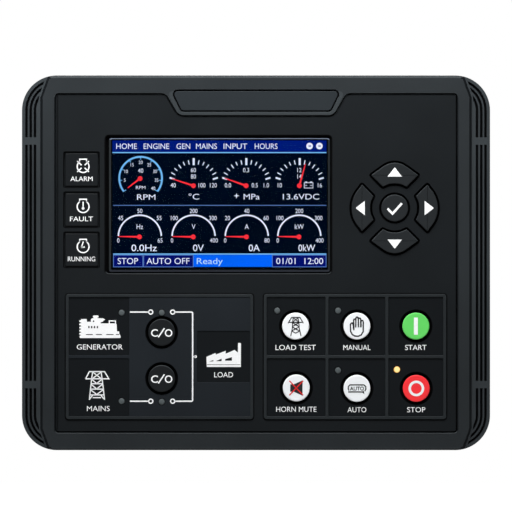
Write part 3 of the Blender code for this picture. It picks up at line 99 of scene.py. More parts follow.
def filleted(corners: Sequence[tuple[float, float, float]],
             steps: int = CORNER_STEPS) -> Outline:
    """Outline through corners, with an arc at each that has a radius.

    Args:
        corners: X, Z and radius of each corner, anticlockwise as seen from the front.
        steps: Facets of each arc.

    Returns:
        The outline's points.
    """
    outline: Outline = []
    count = len(corners)
    for index, (x, z, radius) in enumerate(corners):
        if radius <= 0:
            outline.append((x, z))
            continue
        before = corners[index - 1]
        after = corners[(index + 1) % count]
        into = math.atan2(z - before[1], x - before[0])
        out = math.atan2(after[1] - z, after[0] - x)
        turn = (out - into + math.pi) % (2 * math.pi) - math.pi
        reach = radius * math.tan(abs(turn) / 2)
        side = math.copysign(1.0, turn)
        centre_x = x - reach * math.cos(into) - side * radius * math.sin(into)
        centre_z = z - reach * math.sin(into) + side * radius * math.cos(into)
        for step in range(steps + 1):
            angle = into + turn * step / steps - side * math.pi / 2
            outline.append((centre_x + radius * math.cos(angle),
                            centre_z + radius * math.sin(angle)))
    return outline


def rectangle(width: float, height: float, radius: float = 0.0, centre: Point = (0.0, 0.0),
              steps: int = CORNER_STEPS) -> Outline:
    """Rectangle round a centre.

    Args:
        width: Size along X.
        height: Size along Z.
        radius: Radius of its corners.
        centre: Its middle.
        steps: Facets of each corner.

    Returns:
        The outline's points.
    """
    signs = ((1, -1), (1, 1), (-1, 1), (-1, -1))
    return filleted([(centre[0] + sx * width / 2, centre[1] + sz * height / 2, radius)
                     for sx, sz in signs], steps)


def arc(centre: Point, radius: float, start: float, end: float, steps: int = 24) -> Outline:
    """Points along an arc.

    Args:
        centre: Middle of the arc's circle.
        radius: Radius of the circle.
        start: First angle in degrees, anticlockwise from +X.
        end: Last angle in degrees.
        steps: Stretches between points.

    Returns:
        The points, both ends included.
    """
    turns = (math.radians(start + (end - start) * step / steps) for step in range(steps + 1))
    return [(centre[0] + radius * math.cos(turn), centre[1] + radius * math.sin(turn))
            for turn in turns]


def circle(radius: float, centre: Point = (0.0, 0.0), steps: int = ROUND_STEPS) -> Outline:
    """Full circle as an outline of the given number of points."""
    return arc(centre, radius, 0.0, 360.0, steps)[:-1]


def grown(outline: Outline, distance: float) -> Outline:
    """Outline moved outwards by a distance, or inwards where it is negative.

    Args:
        outline: Points, anticlockwise as seen from the front.
        distance: How far each side moves.

    Returns:
        As many points as before.
    """
    moved: Outline = []
    for index, (x, z) in enumerate(outline):
        before = outline[index - 1]
        after = outline[(index + 1) % len(outline)]
        into = math.atan2(z - before[1], x - before[0])
        out = math.atan2(after[1] - z, after[0] - x)
        across = math.sin(into) + math.sin(out)
        along = -math.cos(into) - math.cos(out)
        share = distance / (1 + math.cos(into - out))
        moved.append((x + share * across, z + share * along))
    return moved


def mirrored(outline: Outline, flip_x: bool, flip_z: bool) -> Outline:
    """Outline mirrored in X, in Z or in both, still anticlockwise.

    Args:
        outline: Points to mirror.
        flip_x: Whether X changes sign.
        flip_z: Whether Z changes sign.

    Returns:
        The mirrored points.
    """
    side = -1 if flip_x else 1
    rise = -1 if flip_z else 1
    points = [(side * x, rise * z) for x, z in outline]
    return points[::-1] if flip_x != flip_z else points


def rounded(radius: float) -> list[Point]:
    """Two distances at each step of a quarter round: from its start, and to its end."""
    turns = (math.pi / 2 * step / EASE_STEPS for step in range(EASE_STEPS + 1))
    return [(radius * (1 - math.cos(turn)), radius * (1 - math.sin(turn))) for turn in turns]


def eased(outline: Outline, front: float, back: float, radius: float, side: int = -1) -> list[Ring]:
    """Rings of a straight body whose front edge is a quarter round.

    Args:
        outline: The body's outline behind the edge.
        front: Depth of its front face.
        back: Depth of its rear face.
        radius: Radius of the edge.
        side: -1 for a body, or 1 for a cutter that leaves a round edge on what it cuts.

    Returns:
        Depth and outline of each ring, front to back.
    """
    rings: list[Ring] = []
    if side > 0:
        rings.append((front - BEYOND, grown(outline, radius)))
    rings += [(front + depth, grown(outline, side * inset)) for depth, inset in rounded(radius)]
    return [*rings, (back, outline)]


def added(name: str, data: bpy.types.ID) -> bpy.types.Object:
    """New object that holds the given data, linked to the scene."""
    item = bpy.data.objects.new(name, data)
    bpy.context.scene.collection.objects.link(item)
    return item


def meshed(mesh: bmesh.types.BMesh, name: str) -> bpy.types.Object:
    """New object with the shape of a mesh under construction, which is used up."""
    data = bpy.data.meshes.new(name)
    mesh.to_mesh(data)
    mesh.free()
    return added(name, data)


class Solid:
    """A closed body under construction, made of rings, prisms and turned shapes."""

    def __init__(self) -> None:
        """Start with an empty mesh."""
        self.mesh = bmesh.new()

    def stack(self, rings: Sequence[Ring]) -> Solid:
        """Add a body through outlines that all have as many points.

        Args:
            rings: Depth and outline of each ring, front to back.

        Returns:
            This solid, so that calls can be chained.
        """
        loops = [[self.mesh.verts.new((x, y, z)) for x, z in outline] for y, outline in rings]
        self.mesh.faces.new(loops[0])
        self.mesh.faces.new(reversed(loops[-1]))
        count = len(loops[0])
        for front, back in zip(loops, loops[1:]):
            for index in range(count):
                after = (index + 1) % count
                self.mesh.faces.new((front[index], back[index], back[after], front[after]))
        return self

    def prism(self, outline: Outline, front: float, back: float) -> Solid:
        """Add a straight body between two depths.

        Args:
            outline: Its outline.
            front: Depth of its front face.
            back: Depth of its rear face.

        Returns:
            This solid.
        """
        return self.stack([(front, outline), (back, outline)])

    def turned(self, profile: Iterable[tuple[float, float]], centre: Point,
               steps: int = ROUND_STEPS) -> Solid:
        """Add a body turned round an axis along Y.

        Args:
            profile: Radius and depth of each ring, front to back.
            centre: Where the axis is.
            steps: Facets round it.

        Returns:
            This solid.
        """
        return self.stack([(depth, circle(radius, centre, steps)) for radius, depth in profile])

    def object(self, name: str) -> bpy.types.Object:
        """Turn the solid into an object with its faces pointing out.

        Args:
            name: The object's name.

        Returns:
            The new object, linked to the scene.
        """
        bmesh.ops.recalc_face_normals(self.mesh, faces=self.mesh.faces)
        return meshed(self.mesh, name)


class Cut(Enum):
    """Ways of combining two bodies."""

    REMOVE = "DIFFERENCE"
    JOIN = "UNION"
    KEEP = "INTERSECT"


def settle(item: bpy.types.Object) -> None:
    """Apply an object's modifiers to its mesh."""
    graph = bpy.context.evaluated_depsgraph_get()
    data = bpy.data.meshes.new_from_object(item.evaluated_get(graph))
    item.modifiers.clear()
    old = item.data
    item.data = data
    bpy.data.meshes.remove(old)


def carve(item: bpy.types.Object, tool: Solid | bpy.types.Object, how: Cut = Cut.REMOVE) -> None:
    """Combine a body with a tool, which is used up.

    Args:
        item: The body that stays.
        tool: What cuts it, joins it or bounds it.
        how: The way to combine them.
    """
    helper = tool.object("tool") if isinstance(tool, Solid) else tool
    change = item.modifiers.new(how.name.lower(), "BOOLEAN")
    change.operation = how.value
    change.object = helper
    settle(item)
    bpy.data.objects.remove(helper)
    LOG.debug("%s %s: %d faces", item.name, how.name, len(item.data.polygons))
    if not item.data.polygons:
        raise RuntimeError(f"{item.name} is empty after {how.name}")


def smooth(item: bpy.types.Object, degrees: float = 35.0) -> None:
    """Shade an object smooth between sharp edges, with its large faces kept flat.

    Args:
        item: The object.
        degrees: Angle above which an edge stays sharp.
    """
    item.data.shade_smooth()
    item.data.set_sharp_from_angle(angle=math.radians(degrees))
    weights = item.modifiers.new("weighted", "WEIGHTED_NORMAL")
    weights.keep_sharp = True
    weights.weight = 100
    settle(item)


def copied(node: bpy.types.Object) -> bpy.types.Object:
    """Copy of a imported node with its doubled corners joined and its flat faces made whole.

    Args:
        node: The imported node, which stays as it is.

    Returns:
        A new object.
    """
    mesh = bmesh.new()
    mesh.from_mesh(node.data)
    bmesh.ops.remove_doubles(mesh, verts=mesh.verts, dist=1e-6)
    bmesh.ops.dissolve_limit(mesh, angle_limit=math.radians(0.5), verts=mesh.verts,
                             edges=mesh.edges)
    return meshed(mesh, f"{node.name}_shape")


def dress(item: bpy.types.Object, body: str, slot: str | None,
          *materials: bpy.types.Material) -> bpy.types.Object:
    """Give a piece its materials and the body that it moves with.

    Args:
        item: The piece.
        body: Name of the body.
        slot: The record's material slot, if one fits; not used.
        materials: Materials in the order of their indices.

    Returns:
        The piece.
    """
    for material in materials:
        item.data.materials.append(material)
    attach(item, body)
    return item


def fitted(item: bpy.types.Object, node: str, slot: str, *materials: bpy.types.Material,
           body: str = HOUSING) -> bpy.types.Object:
    """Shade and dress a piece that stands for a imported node.

    Args:
        item: The piece.
        node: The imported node.
        slot: The record's material slot.
        materials: Materials in the order of their indices.
        body: Name of the body that it moves with.

    Returns:
        The piece.
    """
    smooth(item)
    dress(item, body, slot, *materials)
    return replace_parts(item, node)


NUDGES: dict[str, Point] = {
    "key_test": (-0.0002, 0.0), "key_mute": (0.0001, -0.0003), "key_auto": (0.0, -0.0005),
    "key_stop": (0.0002, -0.0005), "lamp_auto": (0.0, -0.0006), "lamp_stop": (0.0, -0.0002),
    "lamp_generator": (0.0, -0.0004), "lamp_generator_breaker": (0.0, -0.0004),
    "lamp_mains_breaker": (0.0, -0.0003),
}


def middle(node: str) -> Point:
    """Middle of a piece in X and Z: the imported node's, with its small nudge."""
    low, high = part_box(node)
    across, up = NUDGES.get(node, (0.0, 0.0))
    return (low.x + high.x) / 2 + across, (low.z + high.z) / 2 + up


class Drawing:
    """Thin printed or lit shapes that lie in one plane and become one piece."""

    def __init__(self, *inks: bpy.types.Material) -> None:
        """Start an empty drawing.

        Args:
            inks: Materials that its shapes may use, in the order of their indices.
        """
        self.inks = inks
        self.mesh = bmesh.new()

    def polygon(self, outline: Outline, ink: int = 0) -> None:
        """Add a filled shape.

        Args:
            outline: Its outline.
            ink: Index of its material.
        """
        face = self.mesh.faces.new([self.mesh.verts.new((x, 0.0, z)) for x, z in outline])
        face.material_index = ink

    def disc(self, centre: Point, radius: float, ink: int = 0, steps: int = 28) -> None:
        """Add a filled circle.

        Args:
            centre: Its middle.
            radius: Its radius.
            ink: Index of its material.
            steps: Points round it.
        """
        self.polygon(circle(radius, centre, steps), ink)

    def ribbon(self, points: Outline, width: float, ink: int = 0, closed: bool = False) -> None:
        """Add a line of even width through points.

        Args:
            points: The line's middle.
            width: Its width.
            ink: Index of its material.
            closed: Whether the last point joins the first.
        """
        count = len(points)
        left: list[bmesh.types.BMVert] = []
        right: list[bmesh.types.BMVert] = []
        for index, (x, z) in enumerate(points):
            before = points[index - 1] if index or closed else None
            after = points[(index + 1) % count] if index < count - 1 or closed else None
            first = self._across(before, (x, z)) if before else self._across((x, z), after)
            second = self._across((x, z), after) if after else first
            share = width / 2 / (1 + first[0] * second[0] + first[1] * second[1])
            shift = (share * (first[0] + second[0]), share * (first[1] + second[1]))
            left.append(self.mesh.verts.new((x + shift[0], 0.0, z + shift[1])))
            right.append(self.mesh.verts.new((x - shift[0], 0.0, z - shift[1])))
        for index in range(count if closed else count - 1):
            after = (index + 1) % count
            face = self.mesh.faces.new((left[index], right[index], right[after], left[after]))
            face.material_index = ink

    @staticmethod
    def _across(start: Point, end: Point) -> Point:
        """Unit vector square to the way from one point to the next."""
        length = math.hypot(end[0] - start[0], end[1] - start[1])
        return (start[1] - end[1]) / length, (end[0] - start[0]) / length

    def ring(self, centre: Point, radius: float, width: float, ink: int = 0,
             steps: int = 32) -> None:
        """Add a circle drawn as a line.

        Args:
            centre: Its middle.
            radius: Radius of the line's middle.
            width: Width of the line.
            ink: Index of its material.
            steps: Points round it.
        """
        self.ribbon(circle(radius, centre, steps), width, ink, closed=True)

    def text(self, words: str, centre: Point, cap: float, width: float | None = None,
             ink: int = 0, weight: float = 0.0) -> None:
        """Add a line of lettering.

        Args:
            words: What it says.
            centre: Middle of its capitals.
            cap: Height of its capitals.
            width: Whole width, or the lettering's own width if it isn't given.
            ink: Index of its material.
            weight: Extra thickness of the strokes as a share of the font's size.
        """
        points, faces = lettering(words, weight)
        low = min(x for x, _ in points)
        high = max(x for x, _ in points)
        rise = cap / CAPITAL
        across = width / (high - low) if width else rise * CONDENSED
        verts = [self.mesh.verts.new((centre[0] + (x - (low + high) / 2) * across, 0.0,
                                      centre[1] + (z - CAPITAL / 2) * rise)) for x, z in points]
        for corners in faces:
            self.mesh.faces.new([verts[index] for index in corners]).material_index = ink

    def place(self, name: str, depth: float, body: str = HOUSING,
              slot: str | None = None) -> bpy.types.Object:
        """Raise the shapes to a thin piece on a surface.

        Args:
            name: The piece's name.
            depth: Depth of the surface.
            body: Body that it moves with.
            slot: The record's material slot.

        Returns:
            The piece.
        """
        for face in self.mesh.faces:
            face.normal_update()
            if face.normal.y > 0:
                face.normal_flip()
        front = depth - PRINT_LIFT - PRINT_THICKNESS
        bmesh.ops.translate(self.mesh, verts=self.mesh.verts, vec=(0.0, front, 0.0))
        faces = list(self.mesh.faces)
        raised = bmesh.ops.extrude_face_region(self.mesh, geom=faces, use_keep_orig=True)
        backs = [part for part in raised["geom"] if isinstance(part, bmesh.types.BMVert)]
        bmesh.ops.translate(self.mesh, verts=backs, vec=(0.0, PRINT_THICKNESS, 0.0))
        bmesh.ops.recalc_face_normals(self.mesh, faces=self.mesh.faces)
        return dress(meshed(self.mesh, name), body, slot, *self.inks)


CAPITAL = 0.729
CONDENSED = 0.86
GLYPH_STEPS = 4


@lru_cache(maxsize=None)
def lettering(words: str, weight: float) -> tuple[tuple[Point, ...], tuple[tuple[int, ...], ...]]:
    """Outline a line of lettering with the built-in font at size 1.

    Args:
        words: What it says.
        weight: Extra thickness of the strokes.

    Returns:
        Points of the filled letters, and the corners of each face.
    """
    curve = bpy.data.curves.new("lettering", "FONT")
    curve.body = words
    curve.resolution_u = GLYPH_STEPS
    curve.offset = weight
    item = added("lettering", curve)
    bpy.context.view_layer.update()
    data = bpy.data.meshes.new_from_object(item)
    mesh = bmesh.new()
    mesh.from_mesh(data)
    bmesh.ops.remove_doubles(mesh, verts=mesh.verts, dist=1e-6)
    mesh.verts.index_update()
    points = tuple((vert.co.x, vert.co.y) for vert in mesh.verts)
    faces = tuple(tuple(vert.index for vert in face.verts) for face in mesh.faces)
    mesh.free()
    bpy.data.objects.remove(item)
    bpy.data.meshes.remove(data)
    bpy.data.curves.remove(curve)
    return points, faces


class Value:
    """A number or colour carried by a shader socket, with arithmetic on numbers."""

    def __init__(self, graph: Graph, socket: bpy.types.NodeSocket) -> None:
        """Keep the socket, and the graph that receives new nodes."""
        self.graph = graph
        self.socket = socket

    def _math(self, operation: str, *values: Value | float) -> Value:
        """Result of one Math node."""
        return self.graph.add("ShaderNodeMath", {"operation": operation},
                              dict(enumerate(values)))

    def __add__(self, other: Value | float) -> Value:
        """Sum with another value."""
        return self._math("ADD", self, other)

    __radd__ = __add__

    def __sub__(self, other: Value | float) -> Value:
        """This value less another."""
        return self._math("SUBTRACT", self, other)

    def __rsub__(self, other: float) -> Value:
        """A number less this value."""
        return self._math("SUBTRACT", other, self)

    def __mul__(self, other: Value | float) -> Value:
        """Product with another value."""
        return self._math("MULTIPLY", self, other)

    __rmul__ = __mul__

    def between(self, low: float, high: float) -> Value:
        """Share from 0 to 1 of the way from a low value to a high one.

        Args:
            low: Value that gives 0.
            high: Value that gives 1.

        Returns:
            The clamped share.
        """
        return self.graph.add("ShaderNodeMapRange", {"clamp": True},
                              {"Value": self, "From Min": low, "From Max": high})


class Graph:
    """Nodes of one material or world, with a single way to add any of them."""

    def __init__(self, owner: bpy.types.Material | bpy.types.World) -> None:
        """Start on the nodes of a material or world.

        Args:
            owner: What the nodes belong to.
        """
        owner.use_nodes = True
        self.owner = owner
        self.tree = owner.node_tree

    def add(self, kind: str, settings: Mapping[str, object] | None = None,
            inputs: Mapping[str | int, Value | float | Sequence[float]] | None = None,
            output: str | int = 0) -> Value:
        """Add a node.

        Args:
            kind: Its type.
            settings: Its properties, which are set first.
            inputs: Values or links of its sockets by name or index.
            output: Name or index of the socket to return.

        Returns:
            The output as a value.
        """
        node = self.tree.nodes.new(kind)
        for name, setting in (settings or {}).items():
            setattr(node, name, setting)
        for name, value in (inputs or {}).items():
            self.feed(node.inputs[name], value)
        return Value(self, node.outputs[output])

    def feed(self, socket: bpy.types.NodeSocket, value: Value | float | Sequence[float]) -> None:
        """Link a value to a socket, or set the socket to a constant."""
        if isinstance(value, Value):
            self.tree.links.new(value.socket, socket)
        else:
            socket.default_value = value

    def place(self) -> Value:
        """Position in the object's own metres."""
        return self.add("ShaderNodeTexCoord", output="Object")

    def noise(self, size: float, detail: float = 2.0) -> Value:
        """Cloudy noise of a given feature size, from 0 to 1."""
        return self.add("ShaderNodeTexNoise", {},
                        {"Vector": self.place(), "Scale": 1 / size, "Detail": detail}, "Fac")

    def blend(self, share: Value, first: Colour, second: Colour) -> Value:
        """Colour between two colours.

        Args:
            share: 0 for the first, 1 for the second.
            first: Colour at 0.
            second: Colour at 1.

        Returns:
            The mixed colour.
        """
        return self.add("ShaderNodeMix", {"data_type": "RGBA"},
                        {0: share, 6: (*first, 1.0), 7: (*second, 1.0)}, 2)

    def bump(self, height: Value, depth: float) -> Value:
        """Surface direction bent by a height from 0 to 1 over a depth in metres."""
        return self.add("ShaderNodeBump", {}, {"Height": height, "Distance": depth,
                                               "Strength": 1.0}, "Normal")

    def set(self, **values: Value | float | Sequence[float]) -> bpy.types.Material:
        """Feed the principled shader.

        Args:
            values: Socket names with underscores for spaces, and what they get.

        Returns:
            The finished material.
        """
        shader = self.tree.nodes["Principled BSDF"]
        for name, value in values.items():
            self.feed(shader.inputs[name.replace("_", " ")], value)
        return self.owner


def scaled(colour: Colour, share: float) -> Colour:
    """Colour with each of its parts multiplied by a share."""
    red, green, blue = colour
    return red * share, green * share, blue * share


class Finish:
    """A surface that is built once as a material and then shared."""

    def build(self) -> bpy.types.Material:
        """Make the material."""
        raise NotImplementedError


@lru_cache(maxsize=None)
def made(finish: Finish) -> bpy.types.Material:
    """The one material of a finish."""
    return finish.build()


@dataclass(frozen=True)
class Moulding(Finish):
    """Moulded plastic with a fine spark grain and faint clouds of colour.

    Attributes:
        name: The material's name.
        colour: Mean colour.
        roughness: Mean roughness.
        gloss: Specular level.
        grain: Size of the grain.
        depth: Depth of the grain.
        cloud: Share of the colour that the clouds take away or add.
    """

    name: str
    colour: Colour
    roughness: float = 0.5
    gloss: float = 0.2
    grain: float = 0.0004
    depth: float = 0.000012
    cloud: float = 0.10

    def build(self) -> bpy.types.Material:
        """Make the material."""
        graph = Graph(bpy.data.materials.new(self.name))
        grain = graph.noise(self.grain, 3.0)
        clouds = graph.noise(0.03).between(0.3, 0.7)
        dark, light = (scaled(self.colour, share) for share in (1 - self.cloud, 1 + self.cloud))
        return graph.set(Base_Color=graph.blend(clouds, dark, light),
                         Roughness=self.roughness + 0.16 * (grain - 0.5),
                         Normal=graph.bump(grain, self.depth), Specular_IOR_Level=self.gloss)


@dataclass(frozen=True)
class Ink(Finish):
    """Screen-printed ink, slightly uneven in cover.

    Attributes:
        name: The material's name.
        colour: Colour of a full cover.
        roughness: Mean roughness.
    """

    name: str
    colour: Colour
    roughness: float = 0.45

    def build(self) -> bpy.types.Material:
        """Make the material."""
        graph = Graph(bpy.data.materials.new(self.name))
        cover = graph.noise(0.0006)
        thin = scaled(self.colour, 0.94)
        return graph.set(Base_Color=graph.blend(cover.between(0.3, 0.6), thin, self.colour),
                         Roughness=self.roughness + 0.1 * (cover - 0.5),
                         Specular_IOR_Level=0.2)


@dataclass(frozen=True)
class Lit(Finish):
    """Part of the lit screen, with the faint unevenness of its backlight.

    Attributes:
        name: The material's name.
        colour: Colour of the light.
        shade: Share of the light that the darkest patch loses.
    """

    name: str
    colour: Colour
    shade: float = 0.08

    def build(self) -> bpy.types.Material:
        """Make the material."""
        graph = Graph(bpy.data.materials.new(self.name))
        patch = graph.noise(0.02).between(0.3, 0.7)
        dim = scaled(self.colour, 1 - self.shade)
        return graph.set(Base_Color=(0.0, 0.0, 0.0, 1.0), Roughness=0.5,
                         Specular_IOR_Level=0.0, Emission_Strength=1.0,
                         Emission_Color=graph.blend(patch, dim, self.colour))


@dataclass(frozen=True)
class Metal(Finish):
    """Plated or drawn metal with fine streaks along Z.

    Attributes:
        name: The material's name.
        colour: Mean colour.
        roughness: Mean roughness.
    """

    name: str
    colour: Colour
    roughness: float = 0.32

    def build(self) -> bpy.types.Material:
        """Make the material."""
        graph = Graph(bpy.data.materials.new(self.name))
        long = graph.add("ShaderNodeVectorMath", {"operation": "MULTIPLY"},
                         {0: graph.place(), 1: (1.0, 1.0, 0.08)})
        streak = graph.add("ShaderNodeTexNoise", {},
                           {"Vector": long, "Scale": 2500.0, "Detail": 2.0}, "Fac")
        dark = scaled(self.colour, 0.85)
        return graph.set(Base_Color=graph.blend(streak, dark, self.colour), Metallic=1.0,
                         Roughness=self.roughness + 0.2 * (streak - 0.5),
                         Normal=graph.bump(streak, 0.000004))


@dataclass(frozen=True)
class Board(Finish):
    """Solder mask on a circuit board, with its copper tracks showing through.

    Attributes:
        name: The material's name.
        mask: Colour over the bare board.
        track: Colour over copper.
        pitch: Distance from track to track.
    """

    name: str
    mask: Colour
    track: Colour
    pitch: float = 0.0016

    def build(self) -> bpy.types.Material:
        """Make the material."""
        graph = Graph(bpy.data.materials.new(self.name))
        bands = graph.add("ShaderNodeTexWave", {"bands_direction": "DIAGONAL"},
                          {"Vector": graph.place(), "Scale": 0.314 / self.pitch,
                           "Distortion": 0.0}, "Fac")
        tracks = bands.between(0.6, 0.7) * graph.noise(0.011, 0.0).between(0.48, 0.52)
        return graph.set(Base_Color=graph.blend(tracks, self.mask, self.track),
                         Roughness=0.38 + 0.10 * graph.noise(0.002),
                         Normal=graph.bump(tracks, 0.00003), Specular_IOR_Level=0.3)


@dataclass(frozen=True)
class Pane(Finish):
    """Clear window plastic with a hint of tint and faint wipe marks.

    Attributes:
        name: The material's name.
        colour: Tint.
    """

    name: str
    colour: Colour

    def build(self) -> bpy.types.Material:
        """Make the material."""
        graph = Graph(bpy.data.materials.new(self.name))
        wiped = graph.noise(0.012, 4.0)
        return graph.set(Base_Color=(*self.colour, 1.0), Transmission_Weight=1.0, IOR=1.05,
                         Specular_IOR_Level=0.1, Roughness=0.02 + 0.03 * wiped)


BEZEL_PLASTIC = Moulding("bezel_plastic", (0.0185, 0.0220, 0.0245), 0.42, 0.09)
FASCIA_PLASTIC = Moulding("fascia_plastic", (0.0075, 0.0092, 0.0106), 0.50, 0.06)
# Lighter grey painted as a highlight on the frame's edges, rib tops and name tab band, and on the
# upper edges of dark keys.
EDGE_HIGHLIGHT = Moulding("edge_grey", (0.0300, 0.0355, 0.0390), 0.42, 0.09)
# Grey of the fascia's raised lines; also a painted highlight on the fascia's edges that face up or
# left and on the pocket's lower edge, and a darker painted grey on the screen pane's side bevels.
LINE_AND_PAINTED_LIGHT = Moulding("line_grey", (0.0175, 0.0210, 0.0232), 0.48, 0.08)
PLATE_PLASTIC = Moulding("mimic_grey", (0.0125, 0.0155, 0.0190), 0.50, 0.06)
# Black of the cells and of printed marks; also painted shade on the frame's slopes, groove
# shoulders and steep edge faces.
CELL_AND_PAINTED_SHADE = Moulding("cell_black", (0.0045, 0.0058, 0.0070), 0.50, 0.06)
# Painted shadow: deep gaps and grooves, walls of openings, key flanks, lines round the blocks and
# the floors of the wire cages.
PAINTED_SHADOW = Moulding("well_black", (0.0022, 0.0023, 0.0026), 0.8, 0.02)
NAMEPLATE_PLASTIC = Moulding("nameplate_plastic", (0.0160, 0.0200, 0.0232), 0.38, 0.10,
                             cloud=0.05)
MENU_KEY = Moulding("menu_key_plastic", (0.0115, 0.0138, 0.0156), 0.42, 0.12)
KEY_DARK = Moulding("key_dark_plastic", (0.0070, 0.0085, 0.0098), 0.45, 0.10)
KEY_WHITE = Moulding("key_white_plastic", (0.94, 0.97, 0.99), 0.42, 0.3, cloud=0.015)
KEY_GREEN = Moulding("key_green_plastic", (0.13, 0.69, 0.13), 0.42, 0.3, cloud=0.05)
KEY_RED = Moulding("key_red_plastic", (1.0, 0.036, 0.045), 0.42, 0.3, cloud=0.05)
SMOKED = Moulding("smoked_pane", (0.0058, 0.0072, 0.0086), 0.22, 0.10, depth=0.000003)
# Painted highlight on the screen pane's bevel, brighter on its upper side.
BEVEL_HIGHLIGHT = Moulding("frosted_bevel", (0.028, 0.034, 0.048), 0.45, 0.2, depth=0.000006)
UPPER_BEVEL_HIGHLIGHT = Moulding("frosted_upper_bevel", (0.093, 0.115, 0.165), 0.45, 0.2, depth=0.000006)
# Black of the pane's tape, which also stands for painted shade round the pane; also painted shade
# on the pane's side walls.
SHADE = Moulding("black_tape", (0.0015, 0.0015, 0.0018), 0.8, 0.02, cloud=0.2)
HOUSING_PLASTIC = Moulding("housing_plastic", (0.0150, 0.0168, 0.0185), 0.55, 0.12, 0.0006,
                           0.00003)
FIELD_PLASTIC = Moulding("housing_polished", (0.0120, 0.0135, 0.0150), 0.30, 0.2, depth=0.000003)
CLAMP_PLASTIC = Moulding("clamp_plastic", (0.0130, 0.0145, 0.0160), 0.48, 0.14)
TERMINAL_PLASTIC = Moulding("terminal_plastic", (0.022, 0.235, 0.075), 0.45, 0.25, cloud=0.06)
SEAL_RUBBER = Moulding("seal_rubber", (0.010, 0.010, 0.011), 0.85, 0.05, 0.0003, 0.00002)
SILICONE = Moulding("silicone", (0.20, 0.21, 0.22), 0.70, 0.15, depth=0.000008)
CONNECTOR_PLASTIC = Moulding("connector_plastic", (0.014, 0.014, 0.015), 0.50, 0.15)
RELAY_PLASTIC = Moulding("relay_plastic", (0.018, 0.065, 0.190), 0.35, 0.3, cloud=0.05)
SLEEVE = Moulding("capacitor_sleeve", (0.045, 0.055, 0.095), 0.22, 0.4, depth=0.000003)
GLASS_BLACK = Moulding("screen_glass", (0.003, 0.005, 0.012), 0.12, 0.4, depth=0.000001)
LAMP_MILK = Moulding("lamp_clear", (0.10, 0.12, 0.12), 0.30, 0.3, depth=0.000004)
SOLDER_MASK = Board("circuit_board", (0.010, 0.070, 0.028), (0.022, 0.150, 0.055))
ZINC = Metal("zinc_screw", (0.56, 0.56, 0.55), 0.34)
PLATED = Metal("plated_steel", (0.60, 0.60, 0.59), 0.28)
MODULE_STEEL = Metal("module_steel", (0.46, 0.47, 0.48), 0.36)
BRASS = Metal("gilt_contact", (0.72, 0.50, 0.20), 0.25)
CLEAR_PANE = Pane("clear_pane", (1.0, 1.0, 1.0))
INK_WHITE = Ink("white_ink", (0.98, 0.99, 1.0))
INK_BLACK = Ink("black_ink", (0.012, 0.012, 0.014))
INK_RED = Ink("red_ink", (0.75, 0.02, 0.02))


